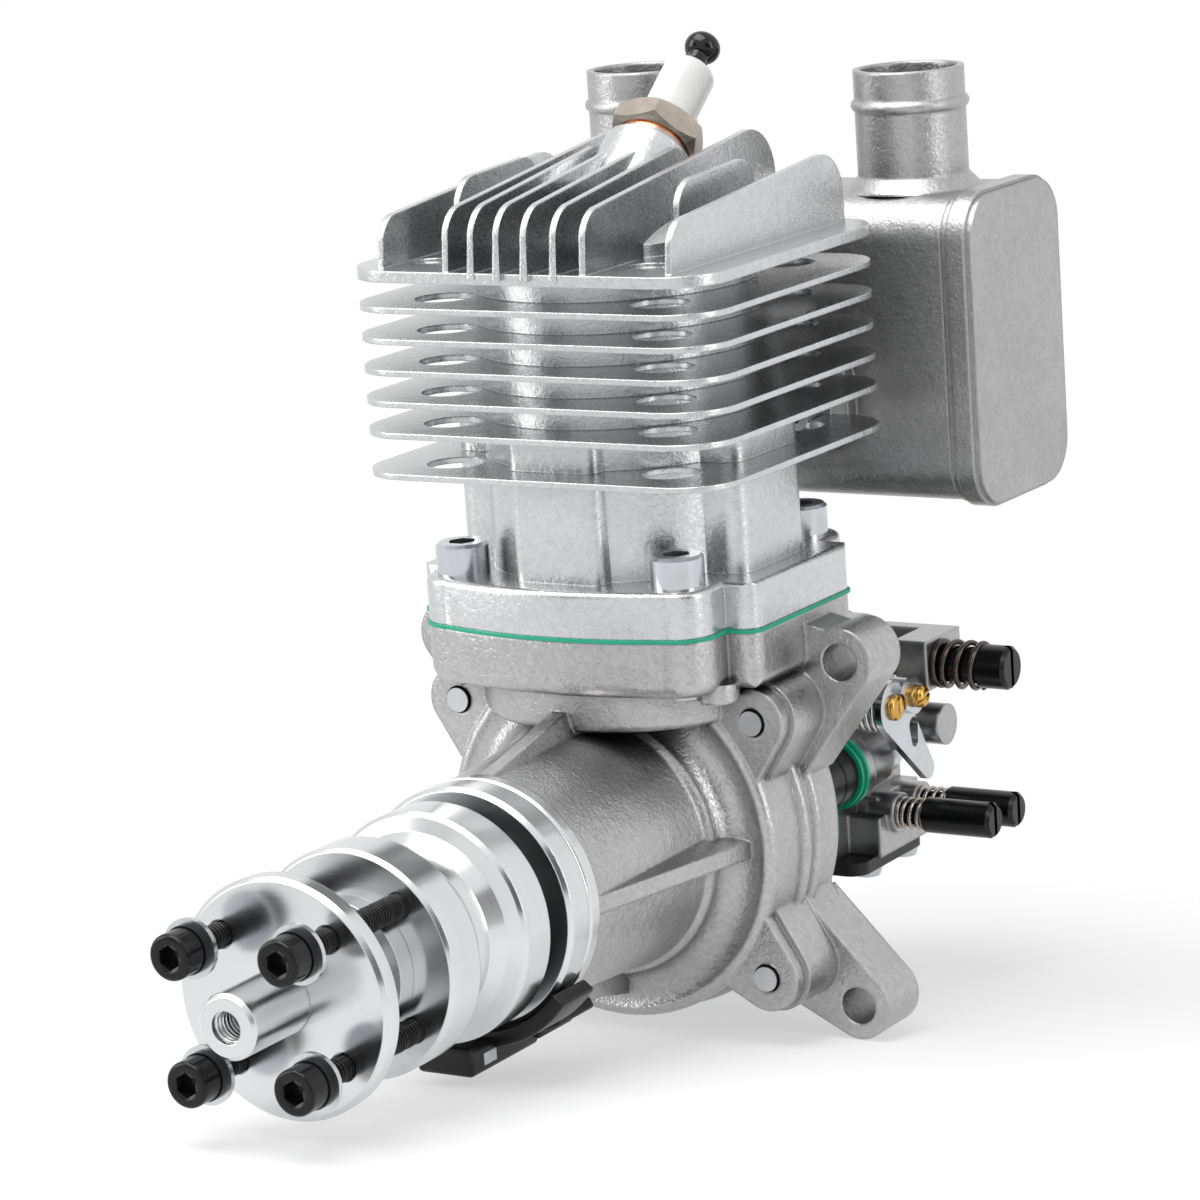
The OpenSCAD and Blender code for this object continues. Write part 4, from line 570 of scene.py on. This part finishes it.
def trimmed(thing, cutters, material):
    """Cuts blocks from a mesh object, which is then smooth up to sharp edges."""
    for cutter in cutters:
        cut = thing.modifiers.new("trim", "BOOLEAN")
        cut.operation, cut.solver, cut.object = "DIFFERENCE", "EXACT", cutter
    bpy.context.view_layer.update()
    mesh = settled(thing)
    for cutter in cutters:
        bpy.data.objects.remove(cutter)
    for stale in ("custom_normal", "sharp_face", "sharp_edge"):
        if stale in mesh.attributes:
            mesh.attributes.remove(mesh.attributes[stale])
    mesh.materials.clear()
    mesh.materials.append(material)
    mesh.polygons.foreach_set("material_index", [0] * len(mesh.polygons))
    mesh.polygons.foreach_set("use_smooth", [True] * len(mesh.polygons))
    mesh.set_sharp_from_angle(angle=math.radians(28))
    mesh.update()
    return thing


def slim_fins(x, y, z):
    """Moves the lower faces of the barrel's fins up and the sides of the head's fins in."""
    near = 0.004
    for top in FIN_TOPS:
        if abs(z - top + FIN_CAD_T) < near:
            z = top - FIN_T
    if abs(z - HEAD_PLATE_Z + HEAD_PLATE_CAD_T) < near:
        z = HEAD_PLATE_Z - HEAD_PLATE_T
    if z > HEAD_PLATE_Z - near:
        for middle in HEAD_FIN_X:
            for s in (-1, 1):
                if abs(abs(x) - middle - s * HEAD_FIN_CAD_T / 2) < near:
                    x = math.copysign(middle + s * HEAD_FIN_T / 2, x)
    return x, y, z


def soft_box(name, low, high, edge, material):
    """A block between two corners, in millimetres, with rounded edges."""
    (x0, y0, z0), (x1, y1, z1) = low, high
    rings = [[(x0, y, z0), (x1, y, z0), (x1, y, z1), (x0, y, z1)] for y in (y0, y1)]
    return soften(prism(name, rings), edge, material)


def soften(thing, edge, material):
    """Rounds the sharp edges of a mesh object and gives it a material."""
    bevel = thing.modifiers.new("edge", "BEVEL")
    bevel.width, bevel.segments, bevel.limit_method = edge * MM, 4, "ANGLE"
    bevel.angle_limit = math.radians(40)
    mesh = settled(thing)
    mesh.materials.append(material)
    mesh.polygons.foreach_set("use_smooth", [True] * len(mesh.polygons))
    mesh.update()
    return thing


def arc_band(name, y0, y1, r0, r1, a0, a1, edge, material):
    """A bent strip about the crankshaft's axis, in millimetres and degrees from +X."""
    rings = []
    for a in np.radians(np.linspace(a0, a1, 25)):
        across, up = math.cos(a), math.sin(a)
        rings.append([(r * across, y, r * up) for r, y in ((r0, y0), (r1, y0), (r1, y1), (r0, y1))])
    return soften(prism(name, rings), edge, material)


# Operators


class ENGINE_OT_castings(bpy.types.Operator):
    """Gives the crankcase, cylinder and muffler their cast skins"""

    bl_idname = "engine.castings"
    bl_label = "Castings"

    def replace(self, name, node, material, cutters, rule=None):
        """Puts a trimmed copy of a CAD node in its place."""
        piece = trimmed(closed_copy(name, node, rule), cutters, material)
        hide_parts(node)
        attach(piece, "engine")

    def execute(self, context):
        look = context.scene.engine_finish
        case = tuple(look.casting)
        case_skin = cast_metal("crankcase skin", case, toned(case, 0.8), look.grain, 0.13, 0.3)
        deck = DECK_LOW, DECK_TOP, DECK_EDGE, 0.0
        self.replace("case_front", "crankcase_front", case_skin, [bow_cutter(-1, *deck)])
        self.replace("case_rear", "crankcase_rear", case_skin, [bow_cutter(1, *deck)])
        skin = tuple(look.cylinder)
        bright_skin = cast_metal(
            "cylinder skin", skin, toned(skin, 0.86), look.grain * 1.3, 0.07, 0.27, 0.4, shade=0.85,
        )
        flange = FLANGE_LOW, FLANGE_TOP, 0.0, FLANGE_EDGE
        cutters = [bow_cutter(-1, *flange), bow_cutter(1, *flange)]
        self.replace("finned_cylinder", "cylinder", bright_skin, cutters, slim_fins)
        box = tuple(look.muffler)
        box_skin = cast_metal("muffler skin", box, toned(box, 0.82), look.grain * 0.9, 0.11, 0.36, 0.8)
        paint(box_skin, "muffler_body", "muffler_caps")
        return {"FINISHED"}


class ENGINE_OT_turned_parts(bpy.types.Operator):
    """Gives the hub, washer, collar, stub and inner parts their turned faces"""

    bl_idname = "engine.turned_parts"
    bl_label = "Turned parts"

    def execute(self, context):
        bright = tuple(context.scene.engine_finish.turned)
        paint(turned_metal("turned aluminium", bright, 0.16), "prop_hub", "prop_washer", "timing_collar")
        paint(turned_metal("turned stub", bright, 0.2, line_mm=0.12, depth_mm=0.004), "prop_stub")
        paint(
            turned_metal("ground crank", (0.62, 0.63, 0.65), 0.24),
            "crankshaft", "bearing_inner_rings", "bearing_outer_rings",
        )
        paint(turned_metal("machined piston", (0.66, 0.66, 0.66), 0.3, axis="Z"), "piston", "piston_ring")
        paint(
            plain_metal("ground steel", (0.70, 0.71, 0.73), 0.2),
            "bearing_balls", "wrist_pin", "crank_pin", "con_rod",
            "throttle_shaft", "choke_shaft", "hub_magnet",
        )
        return {"FINISHED"}


class ENGINE_OT_fasteners(bpy.types.Operator):
    """Plates the zinc screws and washers, blackens the spring washers and finishes the reed petals"""

    bl_idname = "engine.fasteners"
    bl_label = "Screws and washers"

    def execute(self, context):
        paint(
            plain_metal("zinc plate", (0.60, 0.625, 0.65), 0.2, 0.5, 0.003, (0.55, 0.57, 0.59)),
            "case_screws", "base_screws", "muffler_screws", "housing_screws", "cover_screws", "carb_screws",
            "flat_washers", "heat_plate", "throttle_lever", "choke_lever",
        )
        dark = 0.01, 0.01, 0.01
        black = plain_metal("black washer", (0.006, 0.006, 0.007), 0.28, 0.35, 0.005, dark, 0.0, 0.25)
        paint(black, "spring_washers")
        paint(plain_metal("reed sheet", (0.48, 0.43, 0.39), 0.28, 0.3), "reed_petals")
        return {"FINISHED"}


class ENGINE_OT_springs(bpy.types.Operator):
    """Winds the springs of the throttle, the idle screw and the two needles"""

    bl_idname = "engine.springs"
    bl_label = "Springs"

    def wind(self, name, nodes, material, coils):
        """Replaces nodes with coils, given by start, length, radius, wire (in millimetres) and turns."""
        tree = bpy.data.node_groups.get("wound wire") or coil_tree()
        made = [
            grown(
                name, tree, start=[v * MM for v in at], length=length * MM, radius=radius * MM,
                wire=wire * MM, turns=turns, flat_ends=0.6, sides=12, steps=40, finish=material,
            )
            for at, length, radius, wire, turns in coils
        ]
        piece = joined(name, made)
        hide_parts(*nodes)
        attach(piece, "engine")

    def execute(self, context):
        brown = plain_metal("brown spring wire", (0.11, 0.092, 0.082), 0.26, 0.3)
        pale = plain_metal("needle spring wire", (0.46, 0.41, 0.37), 0.26, 0.3)
        bright = plain_metal("bright spring wire", (0.78, 0.78, 0.75), 0.2, 0.3)
        self.wind("idle_coil", ["idle_spring"], brown, [((25.5, 45.0, 14.3), 7.3, 3.75, 0.48, 4)])
        self.wind("needle_coils", ["needle_springs"], pale, [
            ((19.8, 38.8, -10.5), 4.5, 2.4, 0.36, 4.4), ((19.8, 46.2, -10.5), 5.0, 2.4, 0.36, 4.4),
        ])
        self.wind("throttle_coil", ["throttle_spring"], bright, [((12.9, 30.5, 10.0), 8.8, 4.1, 0.36, 9)])
        return {"FINISHED"}


class ENGINE_OT_propeller_bolts(bpy.types.Operator):
    """Makes the knurled socket screws with their threads, and the thread in the stub"""

    bl_idname = "engine.propeller_bolts"
    bl_label = "Propeller bolts"

    def head(self, black):
        """A round knurled head with a hexagonal socket, in millimetres, up along +Z from its seat."""
        r, h, corner = BOLT_HEAD_R, BOLT_HEAD_H, BOLT_CORNER
        rings = [round_ring(r - 0.2, 0), round_ring(r - 0.04, 0.2)]
        rings += [round_ring(r, z, knurl=BOLT_KNURL) for z in (0.3, h - 0.9)]
        for a in np.linspace(0, math.pi / 2, 6):
            rings.append(round_ring(r - corner + corner * math.cos(a), h - corner + corner * math.sin(a)))
        rings.append(round_ring(2.15, h))
        rings += [hex_ring(BOLT_SOCKET, z) for z in (h - 0.2, BOLT_SOCKET_FLOOR)]
        return lofted("bolt head", rings, black, range(3, 9))

    def execute(self, context):
        tree = bpy.data.node_groups.get("wound wire") or coil_tree()
        dark = 0.009, 0.009, 0.009
        black = plain_metal("black oxide", (0.005, 0.005, 0.006), 0.2, 0.35, 0.003, dark, 0.0, 0.25)
        front, back = (corner.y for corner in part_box("prop_bolts"))
        seat = front + BOLT_HEAD_H * MM
        forward = Matrix.Rotation(math.pi / 2, 4, "X") @ Matrix.Scale(MM, 4)
        backward = (-math.pi / 2, 0, 0)
        made = []
        for i in range(4):
            angle = math.radians(BOLT_FIRST_ANGLE + 90 * i)
            at = Vector((BOLT_CIRCLE_R * MM * math.cos(angle), 0, BOLT_CIRCLE_R * MM * math.sin(angle)))
            head = self.head(black)
            head.data.transform(Matrix.Translation(at + Vector((0, seat, 0))) @ forward)
            ends = [round_ring(BOLT_CORE_R, z, 24) for z in (0, (back - seat) / MM)]
            shank = lofted("bolt shank", ends, black, (0,))
            shank.data.transform(Matrix.Translation(at + Vector((0, back, 0))) @ forward)
            ridge = grown(
                "bolt thread", tree, start=list(at + Vector((0, seat + BOLT_RIDGE * MM, 0))),
                length=back - seat - 2 * BOLT_RIDGE * MM, radius=BOLT_THREAD_R * MM, wire=BOLT_RIDGE * MM,
                turns=(back - seat) / (BOLT_PITCH * MM), sides=4, steps=32, turn=backward, finish=black,
            )
            made += [head, shank, ridge]
        bolts = joined("propeller_bolts", made)
        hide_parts("prop_bolts")
        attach(bolts, "crank")
        bright = NODES["prop_stub"].data.materials[0]
        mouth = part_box("prop_stub")[0].y
        thread = grown(
            "stub_thread", tree, start=[0, mouth + 0.7 * MM, 0], length=13.5 * MM, radius=2.48 * MM,
            wire=0.32 * MM, turns=17, sides=4, steps=40, turn=backward, finish=bright,
        )
        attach(thread, "crank")
        return {"FINISHED"}


class ENGINE_OT_spark_plug(bpy.types.Operator):
    """Finishes the spark plug"""

    bl_idname = "engine.spark_plug"
    bl_label = "Spark plug"

    def execute(self, context):
        nickel = plain_metal("warm nickel", (0.46, 0.41, 0.35), 0.28, 0.6, 0.004, (0.36, 0.32, 0.28))
        paint(nickel, "plug_shell")
        paint(plain_metal("copper ring", (0.62, 0.26, 0.12), 0.26), "plug_gasket")
        paint(moulded("white glaze", (0.66, 0.66, 0.655), 0.16, 2.0, 0.004, 0.3), "plug_insulator")
        paint(moulded("black terminal", (0.005, 0.005, 0.005), 0.12, 1.0, 0.003, 0.0, 0.4), "plug_terminal")
        return {"FINISHED"}


class ENGINE_OT_carburettor(bpy.types.Operator):
    """Finishes the carburettor, its covers and adjusting screws"""

    bl_idname = "engine.carburettor"
    bl_label = "Carburettor"

    def pan_screw(self, foot, radius, rise, shank, turn, material):
        """A slotted pan head along +X on its foot, with a shank behind it, in millimetres."""
        count = 48
        rings = [round_ring(1.05, z, count) for z in (-shank, -0.05)] + [round_ring(radius, 0, count)]
        for a in np.linspace(0, math.pi / 2, 7)[:-1]:
            wide, high = 0.45 + 0.55 * math.cos(a), 0.4 + 0.6 * math.sin(a)
            rings.append(round_ring(radius * wide, rise * high, count))
        rings.append(round_ring(radius * 0.4, rise, count))
        place = Matrix.Translation(Vector(foot) * MM) @ Matrix.Rotation(math.pi / 2, 4, "Y")
        head = lofted("pan head", rings, material, range(3, 9))
        slot = soft_box("slot", (-0.3, -4, rise * 0.45), (0.3, 4, rise + 1), 0.02, material)
        slot.data.transform(Matrix.Rotation(math.radians(turn), 4, "Z"))
        head.data.transform(place @ Matrix.Scale(MM, 4))
        slot.data.transform(place)
        return trimmed(head, [slot], material)

    def execute(self, context):
        grey = tuple(context.scene.engine_finish.carburettor)
        skin = cast_metal("carburettor skin", grey, toned(grey, 0.8), 0.5, 0.03, 0.3, 0.9, shade=0.7)
        paint(skin, "carb_body", "pump_cover")
        brass = plain_metal("brass", (0.68, 0.40, 0.10), 0.24, 0.5, 0.004, (0.55, 0.32, 0.08))
        paint(brass, "throttle_plate", "choke_plate")
        lever_thickness = 1.3
        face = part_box("throttle_lever")[0].x / MM + lever_thickness
        screws = [
            self.pan_screw((face, 30.5, 10.0), 2.2, 1.1, 2.2, 70, brass),
            self.pan_screw((face + 1, 36.5, 10.6), 1.9, 2.0, 2.6, 20, brass),
        ]
        lever_screws = joined("lever_screws", screws)
        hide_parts("throttle_screws")
        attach(lever_screws, "throttle")
        paint(plain_metal("inlet plate", (0.6, 0.6, 0.6), 0.26), "fuel_inlet")
        paint(
            moulded("black screw cap", (0.004, 0.004, 0.004), 0.24, 0.6, 0.004, 0.0, 0.3),
            "idle_screw", "low_needle", "high_needle",
        )
        return {"FINISHED"}


class ENGINE_OT_seals(bpy.types.Operator):
    """Finishes the gaskets, mouldings and seal"""

    bl_idname = "engine.seals"
    bl_label = "Gaskets and mouldings"

    def pickup(self, black):
        """The ignition pickup under the collar: its block with a pale window, and its holder."""
        parts = [
            soft_box("block", (-5.8, -72.6, -24.2), (4.4, -53.5, -19.6), 0.9, black),
            soft_box("tail", (-4.0, -54.5, -23.4), (5.0, -44.5, -21.6), 0.6, black),
            arc_band("holder", -66, -56.8, 19.3, 21.7, -112, -37, 0.5, black),
            arc_band("rear holder", -56.9, -46.5, 20.5, 22.4, -98, -62, 0.5, black),
        ]
        block = joined("pickup_block", parts)
        pale = moulded("pale cover", (0.55, 0.57, 0.58), 0.3, 0.6, 0.006)
        window = soft_box("pickup_pale_window", (4.0, -69.2, -23.0), (4.55, -65.8, -21.1), 0.12, pale)
        for piece, node in ((block, "pickup_holder"), (window, "pickup_window")):
            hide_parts(node)
            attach(piece, "engine")

    def execute(self, context):
        green = tuple(context.scene.engine_finish.gasket)
        sheet = moulded("green gasket sheet", green, 0.42, 0.4, 0.02)
        paint(sheet, "rear_gasket", "carb_gaskets")
        cutters = [bow_cutter(side, DECK_TOP, FLANGE_LOW, 0.0, 0.0, GASKET_PROUD) for side in (-1, 1)]
        gasket = trimmed(closed_copy("flange_gasket", "base_gasket"), cutters, sheet)
        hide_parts("base_gasket")
        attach(gasket, "engine")
        paint(moulded("grey gasket sheet", (0.25, 0.25, 0.25), 0.6, 0.4, 0.03), "exhaust_gasket")
        black = moulded("black moulding", (0.006, 0.006, 0.006), 0.34, 0.35, 0.012, 0.0, 0.35)
        paint(black, "reed_housing", "reed_block", "metering_cover")
        self.pickup(black)
        paint(moulded("seal rubber", (0.015, 0.015, 0.015), 0.5, 0.5, 0.02), "shaft_seal")
        return {"FINISHED"}


class ENGINE_OT_studio(bpy.types.Operator):
    """Sets up the camera, the floor, the lamps and the white background"""

    bl_idname = "engine.studio"
    bl_label = "Studio"

    def camera(self, scene):
        """The camera that sees the engine as the photograph does."""
        data = bpy.data.cameras.new("studio camera")
        data.sensor_fit, data.sensor_width = "HORIZONTAL", SENSOR_MM
        data.lens = FOCAL_PX / PICTURE_PX * SENSOR_MM
        data.clip_start, data.clip_end = 0.01, 10
        camera = placed("studio camera", data)
        place = Matrix((CAMERA_RIGHT, CAMERA_UP, CAMERA_BACK)).transposed().to_4x4()
        place.translation = CAMERA_PLACE
        camera.matrix_world = place
        scene.camera = camera

    def floor(self, scene):
        """A white floor that touches the engine's lowest points and keeps its shadow."""
        tilt = scene.engine_studio.floor_tilt
        normal = Vector((0, math.sin(tilt), math.cos(tilt)))
        low = min(normal.dot(v.co) for o in NODES.values() for v in o.data.vertices)
        along = Vector((0, math.cos(tilt), -math.sin(tilt)))
        mesh = bpy.data.meshes.new("studio floor")
        half, gap = 3.0, 0.0002
        below = normal * (low - gap)
        corners = ((-1, -1), (1, -1), (1, 1), (-1, 1))
        points = [below + Vector((x * half, 0, 0)) + along * (y * half) for x, y in corners]
        mesh.from_pydata(points, [], [(0, 1, 2, 3)])
        floor = placed("studio floor", mesh)
        f = Finish("studio floor")
        seen = f.plain_rays()
        paper = f.node("ShaderNodeBsdfDiffuse", values={"Color": (0.9, 0.9, 0.9, 1)})
        glow = f.node("ShaderNodeEmission", values={"Color": WHITE, "Strength": 1.0})
        # The floor keeps a part of the shadow near the engine and is plain white further off.
        x, y = f.outputs(f.node("ShaderNodeSeparateXYZ", values=[f.place]), "XY")
        away = ((x * x + y * y) ** 0.5).between(0.08, 0.26)
        blend = f.node("ShaderNodeMixShader", values=[seen * (0.5 + 0.5 * away), paper, glow])
        f.node("ShaderNodeOutputMaterial", values={"Surface": blend})
        mesh.materials.append(f.material)

    def aim(self, thing, place, target):
        """Puts a lamp or card in place, turned to its target."""
        turn = (Vector(target) - Vector(place)).to_track_quat("-Z", "Y")
        thing.matrix_world = Matrix.Translation(place) @ turn.to_matrix().to_4x4()

    def flag(self, name, place, target, size):
        """A grey card that only reflections see, so that bright metal shows dark bands."""
        w, h = size[0] / 2, size[1] / 2
        mesh = bpy.data.meshes.new(name)
        mesh.from_pydata([(-w, -h, 0), (w, -h, 0), (w, h, 0), (-w, h, 0)], [], [(0, 1, 2, 3)])
        card = placed(name, mesh)
        self.aim(card, place, target)
        f = Finish(name)
        grey = f.node("ShaderNodeEmission", values={"Color": (0.12, 0.12, 0.125, 1)})
        f.node("ShaderNodeOutputMaterial", values=[grey])
        mesh.materials.append(f.material)
        card.visible_camera = card.visible_shadow = card.visible_diffuse = False

    def lamp(self, name, place, target, size, power):
        """A soft box of light."""
        data = bpy.data.lights.new(name, "AREA")
        data.shape, data.size, data.size_y, data.energy = "RECTANGLE", size[0], size[1], power
        self.aim(placed(name, data), place, target)

    def world(self, scene):
        """A background that lights the engine softly and is seen as pure white."""
        world = bpy.data.worlds.new("studio")
        world.use_nodes = True
        g = Graph(world.node_tree)
        strength = 0.5 + 0.5 * g.plain_rays()
        back = g.node("ShaderNodeBackground", values={"Color": WHITE, "Strength": strength})
        g.node("ShaderNodeOutputWorld", values=[back])
        scene.world = world

    def execute(self, context):
        scene = context.scene
        studio = scene.engine_studio
        scene.view_settings.view_transform = "Standard"
        self.camera(scene)
        self.floor(scene)
        middle = (0, -0.02, 0.04)
        self.lamp("overhead", (-0.1, -0.25, 0.9), middle, (0.9, 0.7), studio.key_power)
        self.lamp("left strip", (-0.75, -0.55, 0.35), middle, (0.35, 0.8), studio.fill_power)
        self.lamp("right strip", (0.85, -0.05, 0.3), middle, (0.2, 0.7), studio.fill_power * 0.4)
        self.flag("right flag", (0.62, -0.42, 0.1), middle, (0.42, 0.75))
        self.flag("left flag", (-0.35, -0.8, 0.1), middle, (0.25, 0.6))
        self.world(scene)
        return {"FINISHED"}


STEPS = (
    ENGINE_OT_castings, ENGINE_OT_turned_parts, ENGINE_OT_fasteners, ENGINE_OT_springs,
    ENGINE_OT_propeller_bolts, ENGINE_OT_spark_plug, ENGINE_OT_carburettor, ENGINE_OT_seals,
    ENGINE_OT_studio,
)


class ENGINE_PT_panel(bpy.types.Panel):
    """Lists the steps and their settings"""

    bl_idname = "ENGINE_PT_panel"
    bl_label = "Engine"
    bl_space_type = "VIEW_3D"
    bl_region_type = "UI"
    bl_category = "Engine"

    def draw(self, context):
        for group in (context.scene.engine_finish, context.scene.engine_studio):
            for key in type(group).__annotations__:
                self.layout.prop(group, key)
        for step in STEPS:
            self.layout.operator(step.bl_idname)


CLASSES = (EngineFinish, EngineStudio, *STEPS, ENGINE_PT_panel)


def register():
    for c in CLASSES:
        bpy.utils.register_class(c)
    bpy.types.Scene.engine_finish = bpy.props.PointerProperty(type=EngineFinish)
    bpy.types.Scene.engine_studio = bpy.props.PointerProperty(type=EngineStudio)


def unregister():
    del bpy.types.Scene.engine_studio
    del bpy.types.Scene.engine_finish
    for c in reversed(CLASSES):
        bpy.utils.unregister_class(c)


def main():
    """Runs the steps."""
    register()
    for step in STEPS:
        group, name = step.bl_idname.split(".")
        getattr(getattr(bpy.ops, group), name)()


if __name__ == "__main__":
    main()
